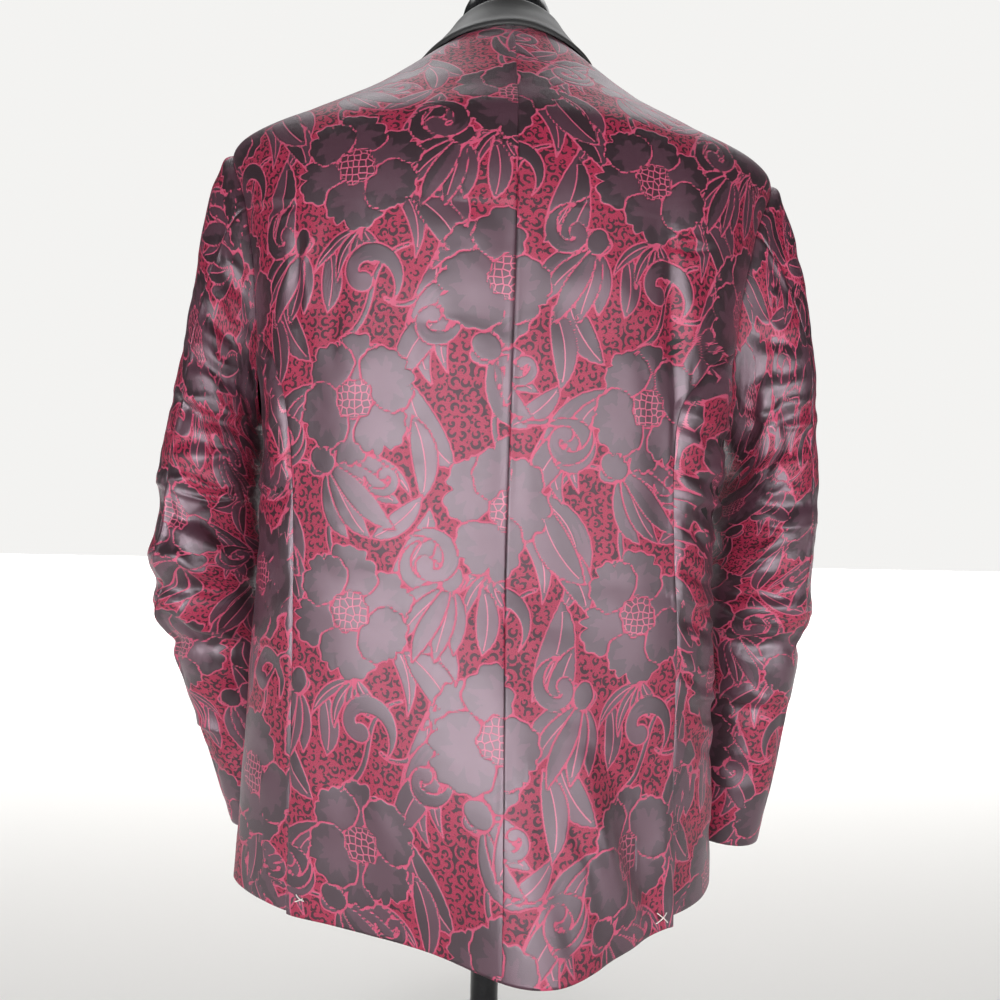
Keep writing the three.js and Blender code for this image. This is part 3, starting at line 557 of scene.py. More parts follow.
    def bell(self, start, heading, size, hand):
        """A drooping striped flower: petals fanned from one point, longest in the middle."""
        for k in (-2, 2, -1, 1, 0):
            turn = heading + k * 15
            bends = [hand * 10 + k * 12, 0, hand * 14 - k * 10]
            p = wave_points(start, turn, bends, size * (1 - 0.09 * abs(k)), 9)
            self.stroke(p, [2.4, size * 0.10, size * 0.125, size * 0.10, 0.8], "half", rib=abs(k) == 1)
        for k, r in ((-1, 0.10), (1, 0.115), (0, 0.14)):
            cup = wave_points(start, heading + 180 + 42 * k, [0, hand * 20], size * 0.17, 3)
            self.stroke(cup, [size * 0.05, size * r, size * r * 0.8], "plum" if k else "dark", rib=False)

    def leaf(self, start, heading, length, width, bend, tone="half"):
        p = wave_points(start, heading, [-bend, 0, bend * 1.2], length, 11)
        self.stroke(p, [0.4, width * 0.40, width * 0.5, width * 0.36, 0.3], tone)

    def spray(self, start, heading, size, count, hand):
        for k in range(count):
            turn = heading + hand * (k * 24 - 20)
            self.leaf(start, turn, size * (0.95 - 0.13 * k), size * 0.17, hand * 26)

    def stem(self, start, heading, bends, length):
        self.stroke(wave_points(start, heading, bends, length, 14), [2.7, 2.3, 1.6], "dark", rib=False)


def weave_at(u, v):
    """The design over one repeat: four flowers, each with its own stems, leaves and curls."""
    w = Weave(u, v)
    cells = [((0, 0), 0, 1), ((126, 85), 1, -1), ((0, 170), 2, -1), ((126, 255), 3, 1)]
    for (cx, cy), kind, hand in cells:  # stems, fronds and leaves first, so that flowers lie over them
        w.stem((cx - 6, cy + 40), 78 + hand * 20, [30 * hand, -20 * hand, 46 * hand], 92)
        w.stem((cx + 40 * hand, cy + 4), 60 - 40 * hand + (90 if hand < 0 else 0), [0, 30, -50], 66)
        bends = [-64 * hand, 6 * hand, 72 * hand]
        frond = wave_points((cx + 62 * hand, cy - 78), 84 + 26 * hand, bends, 132, 16)
        w.stroke(frond, [1, 8, 13, 11, 5, 0.5], "base")
        bends = [-40 * hand, 6 * hand, 80 * hand]
        frond = wave_points((cx + 50 * hand, cy - 70), 96 + 20 * hand, bends, 96, 12)
        w.stroke(frond, [0.5, 6, 8, 5, 0.5], "plum")
        w.leaf((cx + 34 * hand, cy + 26), 90 - hand * 28, 70, 23, 24 * hand)
        w.leaf((cx - 42 * hand, cy + 30), 96 + hand * 24, 80, 27, -22 * hand)
        w.leaf((cx + 46 * hand, cy - 22), -90 + hand * 36, 72, 25, -26 * hand)
        w.leaf((cx - 50 * hand, cy - 16), -92 - hand * 10, 66, 20, 20 * hand)
        w.spray((cx + (10 if kind % 2 else -12), cy - 46), -90 - 34 * hand, 56, 5, hand)
        w.leaf((cx + 20 * hand, cy + 62), 40 + 50 * (hand < 0), 52, 18, 18, "plum")
    for (cx, cy), kind, hand in cells:
        if kind in (0, 3):
            w.bell((cx - 16 * hand, cy + 116), -90 + 44 * hand, 72, hand)
            w.curl((cx + 66 * hand, cy + 44), 27, 200, hand)
            w.curl((cx - 62 * hand, cy - 46), 23, 30, -hand)
            w.curl((cx + 30 * hand, cy + 108), 16, 120, -hand)
        else:
            w.curl((cx - 12 * hand, cy + 88), 30, 250, hand)
            w.bell((cx + 46 * hand, cy + 112), -100 + 20 * hand, 62, -hand)
            w.curl((cx + 62 * hand, cy - 30), 22, 90, -hand)
            w.leaf((cx + 8 * hand, cy - 92), 20 + 60 * (hand < 0), 56, 21, 22)
    for (cx, cy), kind, hand in cells:
        w.flower((cx + (0, 5, -6, 3)[kind], cy + (0, -4, 3, 5)[kind]), (53, 48, 54, 50)[kind],
                 (5, 6, 5, 6)[kind], 0.3 + 1.1 * kind, 1.3 * kind)
    return w


# materials
CRIMSON_LOW = (0.190, 0.0078, 0.029)
CRIMSON_HIGH = (0.375, 0.026, 0.070)
CURL_DARK = (0.030, 0.008, 0.013)
NIGHT = (0.0190, 0.0080, 0.0115)
PLUM = (0.054, 0.020, 0.032)
HEART = (0.045, 0.010, 0.018)
PINK = (0.45, 0.064, 0.128)


class Graph:
    """Adds nodes to a material or a world. Each call adds one and gives its output."""
    def __init__(self, owner, surface="Principled BSDF"):
        owner.use_nodes = True
        self.owner = owner
        self.nodes = owner.node_tree.nodes
        self.links = owner.node_tree.links
        self.surface = self.nodes[surface]

    def put(self, node, values):
        for key, value in values.items():
            if isinstance(value, bpy.types.NodeSocket):
                self.links.new(value, node.inputs[key])
            else:
                node.inputs[key].default_value = value

    def add(self, kind, values, out=0, **settings):
        node = self.nodes.new("ShaderNode" + kind)
        for key, value in settings.items():
            setattr(node, key, value)
        self.put(node, values)
        return node.outputs[out]

    def math(self, kind, *values):
        return self.add("Math", dict(enumerate(values)), operation=kind)

    def vector(self, kind, *values, out=0):
        return self.add("VectorMath", dict(enumerate(values)), out, operation=kind)

    def parts(self, value, kind="SeparateXYZ"):
        return self.add(kind, {0: value}).node.outputs

    def ramp(self, value, low, high, to_low=0.0, to_high=1.0):
        values = {"Value": value, "From Min": low, "From Max": high,
                  "To Min": to_low, "To Max": to_high}
        return self.add("MapRange", values, "Result", interpolation_type="SMOOTHSTEP", clamp=True)

    def blend(self, share, a, b, kind="MIX"):
        a, b = ((*q, 1) if isinstance(q, tuple) else q for q in (a, b))
        return self.add("Mix", {0: share, 6: a, 7: b}, 2, data_type="RGBA", blend_type=kind)

    def noise(self, vector, scale, detail=2.0, rough=0.5):
        values = {"Vector": vector, "Scale": scale, "Detail": detail, "Roughness": rough}
        return self.add("TexNoise", values, "Fac")

    def finish(self, values, height, strength, distance):
        """Sets the surface's inputs and its bump, and gives the material."""
        bump = self.add("Bump", {"Strength": strength, "Distance": distance, "Height": height}, "Normal")
        self.put(self.surface, {**values, "Normal": bump})
        return self.owner


def curls(g, flat, scale, radius, thick, gap, shift):
    """Small curls of the ground: each is a broken ring about its own point, with a dot in it."""
    moved = g.vector("ADD", flat, (shift, shift * 1.7, 0))
    centre = g.add("TexVoronoi", {"Scale": scale, "Randomness": 0.62, "Vector": moved}, "Position",
                   voronoi_dimensions="2D", feature="F1")
    away = g.vector("SUBTRACT", moved, g.vector("MULTIPLY", centre, (1, 1, 0)))
    x, y, _ = g.parts(away)
    pick = g.parts(centre.node.outputs["Color"], "SeparateColor")
    turned = g.math("ADD", g.math("ARCTAN2", y, x), g.math("MULTIPLY", pick[0], 6.283))
    length = g.vector("LENGTH", away, out="Value")
    ring = g.math("DIVIDE", length, g.math("ADD", 0.75, g.math("MULTIPLY", pick[1], 0.5)))
    swell = g.math("MULTIPLY", g.math("ADD", g.math("SINE", turned), 1.0), 0.5)
    width = g.math("ADD", thick * 0.35, g.math("MULTIPLY", swell, thick))
    off = g.math("ABSOLUTE", g.math("SUBTRACT", ring, radius))
    on_ring = g.ramp(g.math("SUBTRACT", off, width), 0.25, -0.1)
    open_part = g.ramp(g.math("COSINE", g.math("SUBTRACT", turned, 4.4)), gap, gap - 0.2)
    dot = g.ramp(length, (gap * 0.5 + 0.22) / scale, (gap * 0.5 + 0.27) / scale)
    return g.math("MAXIMUM", g.math("MULTIPLY", on_ring, open_part), dot)


def brocade_material():
    g = Graph(bpy.data.materials.new("brocade_cloth"))
    mark, rib, tone = g.parts(g.add("Attribute", {}, "Vector", attribute_name="motif"))
    u, v, seed = g.parts(g.add("Attribute", {}, "Vector", attribute_name="cloth"))
    flat = g.add("CombineXYZ", {0: u, 1: v})

    # the threads wander a little, so that edges step unevenly as woven ones do
    jitter = g.math("MULTIPLY", g.math("SUBTRACT", g.noise(flat, 0.9, 1.0), 0.5), 1.1)
    edge = g.math("ADD", mark, jitter)
    dark = g.ramp(edge, -0.55, -0.15)
    outline = g.math("MULTIPLY", g.ramp(edge, -1.60, -1.25), g.math("SUBTRACT", 1.0, dark))
    from_rib = g.math("ABSOLUTE", g.math("ADD", rib, g.math("MULTIPLY", jitter, 0.5)))
    ribs = g.math("MULTIPLY", g.ramp(from_rib, 0.68, 0.30), dark)

    # the seed hearts: a comb of small cells in a rim
    comb = g.add("TexVoronoi", {"Scale": 0.185, "Randomness": 0.55, "Vector": flat}, "Distance",
                 voronoi_dimensions="2D", feature="DISTANCE_TO_EDGE")
    in_heart = g.ramp(seed, 0.0, 0.6)
    comb = g.math("MULTIPLY", g.ramp(comb, 0.115, 0.07), in_heart)
    rim = g.math("MULTIPLY", g.ramp(g.math("ABSOLUTE", seed), 0.9, 0.4), dark)
    pink_lines = g.math("MAXIMUM", g.math("MAXIMUM", outline, ribs), g.math("MAXIMUM", comb, rim))

    small = g.math("MAXIMUM", curls(g, flat, 0.108, 2.45, 0.80, 0.80, 3.0),
                   curls(g, flat, 0.17, 0.5, 0.5, 1.3, 41.0))
    marks = g.math("MULTIPLY", small, g.ramp(edge, -1.7, -2.2))

    grain = g.noise(flat, 1.35, 3.0, 0.7)
    broad = g.noise(flat, 0.03, 3.0, 0.6)
    cloud = g.math("MULTIPLY", g.math("SUBTRACT", g.noise(flat, 0.14, 3.0, 0.65), 0.5), 9.0)
    ground = g.blend(g.ramp(grain, 0.3, 0.7), CRIMSON_LOW, CRIMSON_HIGH)
    ground = g.blend(marks, ground, CURL_DARK)
    night = g.blend(g.ramp(g.math("ADD", tone, cloud), -0.5, 0.5), NIGHT, PLUM)
    night = g.blend(in_heart, night, HEART)
    colour = g.blend(pink_lines, g.blend(dark, ground, night), PINK)
    tint = g.blend(g.ramp(broad, 0.3, 0.7), (0.90, 0.90, 0.90), (1.0, 1.0, 1.0))

    # twill: slanting ribs of the satin ground, and the raised edges of the motifs
    slanted = g.add("Mapping", {"Rotation": (0, 0, 0.9), "Vector": flat})
    twill = g.add("TexWave", {"Scale": 0.42, "Distortion": 1.6, "Detail": 1.0, "Vector": slanted}, "Fac")
    raised = g.math("MULTIPLY", g.ramp(mark, -2.0, 1.0), 0.7)
    raised = g.math("ADD", raised, g.math("MULTIPLY", pink_lines, -0.35))
    raised = g.math("ADD", raised, g.math("MULTIPLY", marks, 0.25))
    threads = g.math("ADD", g.math("MULTIPLY", twill, 0.10), g.math("MULTIPLY", grain, 0.34))
    rough = g.math("ADD", 0.465, g.math("MULTIPLY", grain, 0.07))
    rough = g.math("ADD", g.math("MULTIPLY", dark, -0.07), rough)
    return g.finish({
        "Base Color": g.blend(1.0, colour, tint, "MULTIPLY"),
        "Roughness": rough,
        "IOR": 1.75,
        "Specular IOR Level": g.math("ADD", 0.32, g.math("MULTIPLY", dark, 0.40)),
        "Specular Tint": (1.0, 0.84, 0.95, 1),
        "Sheen Weight": 0.03,
        "Sheen Roughness": 0.45,
        "Sheen Tint": (1.0, 0.72, 0.80, 1),
    }, g.math("ADD", raised, threads), 0.42, 0.0007)


def plain_material(name, low, high, rough, grain, bump_mm,
                   specular=0.5, coat=0.0, stretch=(1, 1, 1), metal=0.0, sheen=0.0):
    g = Graph(bpy.data.materials.new(name))
    place = g.add("Mapping", {"Scale": stretch, "Vector": g.add("TexCoord", {}, "Object")})
    fine = g.noise(place, grain, 4.0, 0.62)
    both = g.math("MULTIPLY", g.math("ADD", fine, g.noise(place, 9.0, 3.0, 0.5)), 0.5)
    return g.finish({
        "Base Color": g.blend(g.ramp(both, 0.35, 0.65), low, high),
        "Roughness": g.ramp(both, 0.3, 0.7, rough - 0.05, rough + 0.06),
        "Specular IOR Level": specular,
        "Coat Weight": coat,
        "Coat Roughness": 0.08,
        "Metallic": metal,
        "Sheen Weight": sheen,
    }, fine, 0.5, bump_mm / 1000)


BROCADE = brocade_material()
LINING = plain_material("dark_lining", (0.012, 0.011, 0.012), (0.022, 0.020, 0.022), 0.5, 1400, 0.05)
SATIN = plain_material("black_satin", (0.022, 0.022, 0.0225), (0.034, 0.034, 0.0345), 0.50, 1500, 0.12,
                       specular=0.3, stretch=(1, 1, 0.25), sheen=0.06)
FORM = plain_material("form_gloss_black", (0.006, 0.006, 0.0065), (0.010, 0.010, 0.011), 0.24, 60, 0.03,
                      coat=0.3)
METAL = plain_material("stand_black", (0.012, 0.012, 0.013), (0.020, 0.020, 0.021), 0.34, 300, 0.03,
                       coat=0.2, metal=0.4)
THREAD = plain_material("basting_thread", (0.62, 0.60, 0.55), (0.80, 0.78, 0.74), 0.8, 900, 0.1)


# meshes
def make_object(name, points, faces, materials, face_material=None, smooth_faces=True):
    """faces: rows of corners, each of any size."""
    mesh = bpy.data.meshes.new(name)
    points = np.asarray(points, float) / 1000
    mesh.vertices.add(len(points))
    mesh.vertices.foreach_set("co", points.ravel())
    sizes = np.array([len(f) for f in faces])
    corners = np.concatenate([np.asarray(f, np.int32) for f in faces])
    mesh.loops.add(len(corners))
    mesh.loops.foreach_set("vertex_index", corners)
    mesh.polygons.add(len(sizes))
    mesh.polygons.foreach_set("loop_start", np.append(0, np.cumsum(sizes)[:-1]).astype(np.int32))
    for m in materials:
        mesh.materials.append(m)
    if face_material is not None:
        mesh.polygons.foreach_set("material_index", np.asarray(face_material, np.int32))
    mesh.polygons.foreach_set("use_smooth", np.broadcast_to(smooth_faces, len(sizes)).astype(bool))
    mesh.update(calc_edges=True)
    mesh.validate()
    obj = bpy.data.objects.new(name, mesh)
    bpy.context.scene.collection.objects.link(obj)
    return obj


def grid_faces(n, m):
    i, j = np.meshgrid(np.arange(n - 1), np.arange(m - 1), indexing="ij")
    a = i * m + j
    return np.stack([a, a + m, a + m + 1, a + 1], -1).reshape(-1, 4)


def border(n, m):
    """Indices round the edge of an n by m grid, once, the way its faces turn."""
    a = np.arange(n * m).reshape(n, m)
    return np.concatenate([a[:-1, 0], a[-1, :-1], a[:0:-1, -1], a[0, :0:-1]])


def shell(name, outer, inner, u, v, materials=(BROCADE, LINING), flip=False, coarse=4):
    """A cloth piece: a dense outer face, its rim, and an inner face that is plainer but for its edge.
    u and v are its places in the woven design, or None for plain cloth."""
    n, m = outer.shape[:2]
    ci = np.unique(np.append(np.arange(0, n, coarse), n - 1))
    cj = np.unique(np.append(np.arange(0, m, coarse), m - 1))
    used = np.zeros((n, m), bool)
    used[np.ix_(ci, cj)] = True
    used[0, :] = used[-1, :] = used[:, 0] = used[:, -1] = True
    inside = np.full((n, m), -1)
    inside[used] = n * m + np.arange(used.sum())
    edge = border(n, m)
    faces = list(grid_faces(n, m))
    ring = inside.ravel()[edge]
    k = np.arange(len(edge))
    k2 = (k + 1) % len(edge)
    faces += list(np.stack([edge[k2], edge[k], ring[k], ring[k2]], -1))
    which = [0] * len(faces)
    soft = [1] * ((n - 1) * (m - 1)) + [0] * len(edge)
    for a, b in zip(ci, ci[1:]):
        for c, d in zip(cj, cj[1:]):
            low = inside[a:b + 1, c][used[a:b + 1, c]]
            right = inside[b, c:d + 1][used[b, c:d + 1]]
            high = inside[a:b + 1, d][used[a:b + 1, d]][::-1]
            left = inside[a, c:d + 1][used[a, c:d + 1]][::-1]
            faces.append(np.concatenate([low[:-1], right[:-1], high[:-1], left[:-1]])[::-1])
    which += [1] * (len(faces) - len(which))
    soft += [1] * (len(faces) - len(soft))
    if flip:
        faces = [f[::-1] for f in faces]
    obj = make_object(name, np.concatenate([outer.reshape(-1, 3), inner[used]]), faces,
                      materials, which, soft)
    if u is not None:
        w = weave_at(u, v)
        motif = np.stack([w.mark, w.rib, w.tone], -1)
        cloth = np.stack([u, v, w.seed], -1)
        for key, data in (("motif", motif), ("cloth", cloth)):
            layer = obj.data.attributes.new(key, "FLOAT_VECTOR", "POINT")
            both = np.concatenate([data.reshape(-1, 3), data[used]])
            layer.data.foreach_set("vector", both.astype(np.float32).ravel())
    return obj


def lengths(points):
    """Distance along the first axis of a grid, from its first line."""
    d = np.linalg.norm(np.diff(points, axis=0), axis=-1)
    return np.concatenate([np.zeros((1, points.shape[1])), np.cumsum(d, 0)])


def grid_normals(points):
    return -unit(np.cross(np.gradient(points, axis=0), np.gradient(points, axis=1)))


def rows_between(low, high, pitch):
    return np.linspace(low, high, max(2, int(round((high - low) / pitch)) + 1))


def seam_dip(u, width):
    """The cloth turns in where it is sewn: a small round dip along both long edges."""
    from_edge = np.minimum(u, u[-1:] - u)
    return -0.22 * np.exp(-(from_edge / width) ** 2)


def declare(obj, node):
    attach(obj, "root")
    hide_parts(node)


def body_panel(name, start, end, pitch, u_zero, lift, seed, front=False):
    """A back or a front, from its start edge to its end edge; u_zero places the pattern on it."""
    levels = (0, SEAM_TOP_V, SHOULDER_V, NECK_V)
    v = np.unique(np.concatenate([rows_between(low, high, pitch) for low, high in zip(levels, levels[1:])]))
    a, b = start(v), end(v)
    mid = cloth_point(a, v), cloth_point(b, v)
    width = np.linalg.norm(mid[0] - mid[1], axis=-1).max()
    n = int(width * 1.06 / pitch) + 2
    a = a + SEAM_SHOWN / 2 * turn_per_mm(a, v)
    b = b - SEAM_SHOWN / 2 * turn_per_mm(b, v)
    turn = mix(a[None, :], b[None, :], np.linspace(0, 1, n)[:, None])
    vv = np.broadcast_to(v[None, :], turn.shape)
    p = cloth_point(turn, vv)
    nrm = cloth_normal(turn, vv)
    u = lengths(p)
    p = p + nrm * lift(turn, vv)[..., None]
    px, py = photo_px(p * HALF_TURN if front else p)
    out = crease_field(px, py, BACK_CREASES, 0.75 if front else 1.0)
    out = out * step(0, 6, np.minimum(u, u[-1:] - u)) + ripples(u, vv, 0.55, seed)
    out = np.clip(out, -5.5, 5) * step(NECK_V, NECK_V - 30, vv)
    out = np.where(vv > 560, out * 0.55, out)
    out = out + seam_dip(u, 1.8)
    p = p + nrm * out[..., None]
    inner = p - nrm * WALL
    obj = shell(name, p, inner, u_zero(u), vv + 12)
    declare(obj, name)


def back_lift(side):
    def lift(turn, v):
        away = np.abs(turn - EDGE_BACK[side](v)) / turn_per_mm(turn, v)
        return VENT_GAPE[side] * (1 - step(0, 42, away)) * (1 - step(0, VENT_V, v))
    return lift


def lap_lift(turn, v):
    x = plain_point(turn, v)[..., 0]
    return LAP * (1 - step(26, 100, x)) * (1 - step(BREAK_V + 90, BREAK_V + 290, v))


def no_lift(turn, v):
    return 0 * v


def centre_back(v):
    return np.full(np.shape(v), math.pi / 2)


def front_left_edge(v):
    return turn_at(v, front_edge_x(v), -1)


def wrap(edge):
    return lambda v: np.where(edge(v) < 0, edge(v) + 2 * math.pi, edge(v))


def front_right_edge(v):
    return turn_at(v, -front_edge_x(v), -1) + 2 * math.pi


# the two halves of the back meet at the centre seam without their flowers matching
COARSER = FINE * 1.35
body_panel("back_left", EDGE_BACK[1], centre_back, FINE, lambda u: u - u[-1:] - 3, back_lift(1), 3)
body_panel("back_right", centre_back, EDGE_BACK[-1], FINE, lambda u: u + 22, back_lift(-1), 5)
body_panel("front_left", front_left_edge, EDGE_FRONT[1], COARSER, lambda u: u + 60, lap_lift, 8, True)
body_panel("front_right", wrap(EDGE_FRONT[-1]), wrap(front_right_edge), COARSER, lambda u: u - u[-1:] + 40,
           no_lift, 9, True)


def side_panel(name, side):
    pitch = FINE
    rows = rows_between(0, SEAM_TOP_V, pitch)
    n = int(84 / pitch) + 2
    t = np.linspace(0, 1, n)
    if side < 0:
        t = 1 - t
    phi_back = float(phi_at_v(SEAM_TOP_V))
    top_turn, top_v = armhole(mix(2 * math.pi - phi_back, phi_back, t), side)
    share = rows / SEAM_TOP_V
    v = top_v[:, None] * share[None, :]

    def seams(at):
        front = EDGE_FRONT[side](at)
        if side < 0:
            front = np.where(front < 0, front + 2 * math.pi, front)
        return mix(front, EDGE_BACK[side](at), t[:, None] if np.ndim(at) == 2 else t)

    turn = seams(v) + (top_turn - seams(top_v))[:, None] * share[None, :] ** 3
    gap = SEAM_SHOWN / 2 * turn_per_mm(turn, v) * side
    inward = np.where(t == 0, 1.0, np.where(t == 1, -1.0, 0.0))[:, None]
    turn = turn + gap * inward
    p = cloth_point(turn, v)
    nrm = cloth_normal(turn, v)
    u = lengths(p)
    px, py = photo_px(p)
    out = crease_field(px, py, BACK_CREASES) * step(0, 5, np.minimum(u, u[-1:] - u))
    out = np.clip(out + ripples(u, v, 0.9, 11 + side), -5, 4) + seam_dip(u, 1.8)
    p = p + nrm * out[..., None]
    obj = shell(name, p, p - nrm * WALL, u + 90 + 30 * side, v + 70)
    declare(obj, name)


side_panel("side_left", 1)
side_panel("side_right", -1)


def vent_underlap(name, side):
    rows = rows_between(4, VENT_V, 4)
    n = 14
    t = np.linspace(0, 1, n)
    if side < 0:
        t = 1 - t
    v = np.broadcast_to(rows[None, :], (n, len(rows)))
    edge = EDGE_BACK[side](v)
    turn = edge + mix(-14, 34, t)[:, None] * side * turn_per_mm(edge, v)
    nrm = cloth_normal(turn, v)
    p = cloth_point(turn, v) - nrm * (WALL + 0.9)
    u = lengths(p)
    obj = shell(name, p, p - nrm * WALL, u + 150, v + 40, coarse=2)
    declare(obj, name)


vent_underlap("vent_underlap_left", 1)
vent_underlap("vent_underlap_right", -1)


# sleeves
def sleeve_surface(side):
    rings = columns(SLEEVE_LEFT if side > 0 else SLEEVE_RIGHT)
    folds = SLEEVE_FOLDS[side]

    def oval(phi, s):
        tilt, yaw = np.radians(rings["tilt"](s)), np.radians(rings["yaw"](s))
        swell = 0
        for at, turn, along, around, out in folds:
            away = (np.degrees(phi) - turn + 540) % 360 - 180
            swell = swell + out * np.exp(-(away / around) ** 2 - ((s - at) / along) ** 2)
        out = (rings["half"](s) + swell) * np.cos(phi)
        back = (rings["depth"](s) + swell) * np.sin(phi)
        level = out * np.cos(tilt)
        return np.stack([rings["x"](s) + level * np.cos(yaw) - back * np.sin(yaw),
                         rings["y"](s) + level * np.sin(yaw) + back * np.cos(yaw),
                         rings["z"](s) + out * np.sin(tilt)], -1)

    def start(phi):
        turn, v = armhole(phi, side)
        p = cloth_point(turn, v) + cloth_normal(turn, v) * (0.15 - WALL / 2)
        return p * np.array([side, 1, 1])

    def surface(phi, s):
        phi, s = np.broadcast_arrays(np.asarray(phi, float), np.asarray(s, float))
        off = start(phi) - oval(phi, np.zeros_like(phi))
        p = oval(phi, s) + off * (1 - step(0, SLEEVE_SETTLES, s))[..., None]
        return p * np.array([side, 1, 1])
    return surface


def sleeve(name, side, from_turn, to_turn, u_zero):
    surface = sleeve_surface(side)
    pitch = FINE * 1.06
    s = rows_between(0, SLEEVE_LENGTH, pitch)
    span = abs(to_turn - from_turn)
    n = int(math.radians(span) * 64 / pitch) + 2
    phi = np.radians(np.linspace(from_turn, to_turn, n))[:, None] * np.ones((1, len(s)))
    ss = np.broadcast_to(s[None, :], phi.shape)
    per_mm = 0.02 / np.linalg.norm(surface(phi + 0.01, ss) - surface(phi - 0.01, ss), axis=-1)
    ends = np.zeros((n, 1))
    ends[0], ends[-1] = 1, -1
    phi = phi + ends * SEAM_SHOWN * 0.5 * per_mm
    p = surface(phi, ss)
    nrm = normal_of(surface, phi, np.clip(ss, 1, SLEEVE_LENGTH - 1), 0.02, 1) * -side
    u = lengths(p)
    px, py = photo_px(p)
    facing = step(0.0, 0.3, nrm[..., 1])
    out = crease_field(px, py, SLEEVE_CREASES) * facing
    fx, fy = photo_px(p * HALF_TURN)
    out = out + crease_field(fx, fy, SLEEVE_CREASES, 0.8) * step(0.0, 0.3, -nrm[..., 1])
    out = out * step(6, 30, ss) * step(SLEEVE_LENGTH, SLEEVE_LENGTH - 22, ss)
    out = out * step(0, 6, np.minimum(u, u[-1:] - u))
    small = ripples(u, ss, 0.8, 21 + side) * step(SLEEVE_LENGTH, SLEEVE_LENGTH - 37, ss)
    out = np.clip(out, -7, 5) + small
    head = 1.6 * np.exp(-((ss - 9) / 6) ** 2) * np.clip(np.cos(phi), 0, 1) ** 2
    out = out + seam_dip(u, 1.8) + head - 0.5 * np.exp(-(ss / 1.8) ** 2)
    outer = p + nrm * (WALL / 2 + out)[..., None]
    inner = outer - nrm * WALL
    obj = shell(name, outer, inner, u * -side + u_zero, -ss + 60, flip=side > 0)
    declare(obj, name)


for label, side in (("left", 1), ("right", -1)):
    sleeve("top_sleeve_" + label, side, SLEEVE_FRONT_SEAM - 360, SLEEVE_BACK_SEAM, 30)
    sleeve("under_sleeve_" + label, side, SLEEVE_BACK_SEAM, SLEEVE_FRONT_SEAM, 140)


# collar
def collar_stations(side):
    """Rows across the collar: roll turn, roll v, edge turn, edge v, rise of the roll, hug of the fall."""
    turn_of = (lambda t: t) if side > 0 else (lambda t: math.pi - t)
    first = BREAK_V + 4 if side > 0 else 320
    rows = rows_between(first, NECK_V - 4, 5)
    out = []
    for v in rows:
        edge_v = v - LAPEL_DROP * step(600, NECK_V, v)
        x = front_edge_x(v)
        roll = x if side > 0 else max(x, 3 - x)
        edge_turn = turn_at(edge_v, x + lapel_width(v), -1)
        out.append((turn_of(turn_at(v, roll, -1)), v, turn_of(edge_turn), edge_v, 0.0, 1.0))
    neck = float(front_left_edge(NECK_V))
    edge_start = float(turn_at(NECK_V - LAPEL_DROP, front_edge_x(NECK_V) + lapel_width(NECK_V), -1))
    for t in np.linspace(0, 1, 58):
        full = float(step(0, 0.42, t))
        edge_turn = mix(edge_start, math.pi / 2, t ** 0.9)
        out.append((turn_of(mix(neck, math.pi / 2, t)), NECK_V, turn_of(edge_turn),
                    NECK_V - mix(LAPEL_DROP, FALL_COVER, full), full, mix(3.5, 1.0, full)))
    return out


def rise_at(turn, rise):
    p = plain_point(turn, NECK_V)
    inward = unit(np.stack([-p[..., 0], NECK_Y - p[..., 1], 0 * p[..., 0]], -1))
    lean = mix(STAND_LEAN_SIDE, STAND_LEAN_BACK, np.sin(turn) ** 2)
    r = inward * (lean * rise)[..., None]
    r[..., 2] = STAND_RISE * rise
    return r


stations = np.array([[float(q) for q in row] for row in
                     collar_stations(1) + collar_stations(-1)[::-1][1:]])
roll_turn, roll_v, edge_turn, edge_v, rise, hug = (stations[:, k:k + 1] for k in range(6))
q = np.linspace(0, 1, 34)[None, :]
turn = mix(roll_turn, edge_turn, q)
vv = mix(roll_v, edge_v, q)
lift = np.where(turn < math.pi / 2, lap_lift(turn, vv), 0.0)
fall = cloth_point(turn, vv) + cloth_normal(turn, vv) * lift[..., None]
fall += rise_at(roll_turn[:, 0], rise[:, 0])[:, None, :] * ((1 - q) ** hug)[..., None]
fall_n = grid_normals(fall)
d = np.linalg.norm(np.diff(fall, axis=1), axis=-1)
from_roll = np.concatenate([np.zeros((len(fall), 1)), np.cumsum(d, 1)], 1)
from_edge = from_roll[:, -1:] - from_roll
along = np.concatenate([[0], np.cumsum(np.linalg.norm(np.diff(fall[:, 17], axis=0), axis=-1))])[:, None]
body = 3.4 + 0.5 * np.exp(-((from_edge - 4) / 5) ** 2) + 1.1 * rise * np.exp(-(from_roll / 9) ** 2)
body = body - 1.7 * np.exp(-(from_edge / 1.2) ** 2) - 1.7 * np.exp(-(from_roll / 1.5) ** 2)
body = body + 0.35 * np.sin(along / 31) * np.sin(along / 13 + from_roll / 9)
outer = fall + fall_n * body[..., None]
inner = fall + fall_n * 1.35
collar = shell("shawl_collar", outer, inner, None, None, (SATIN, SATIN), True, 2)
declare(collar, "shawl_collar")

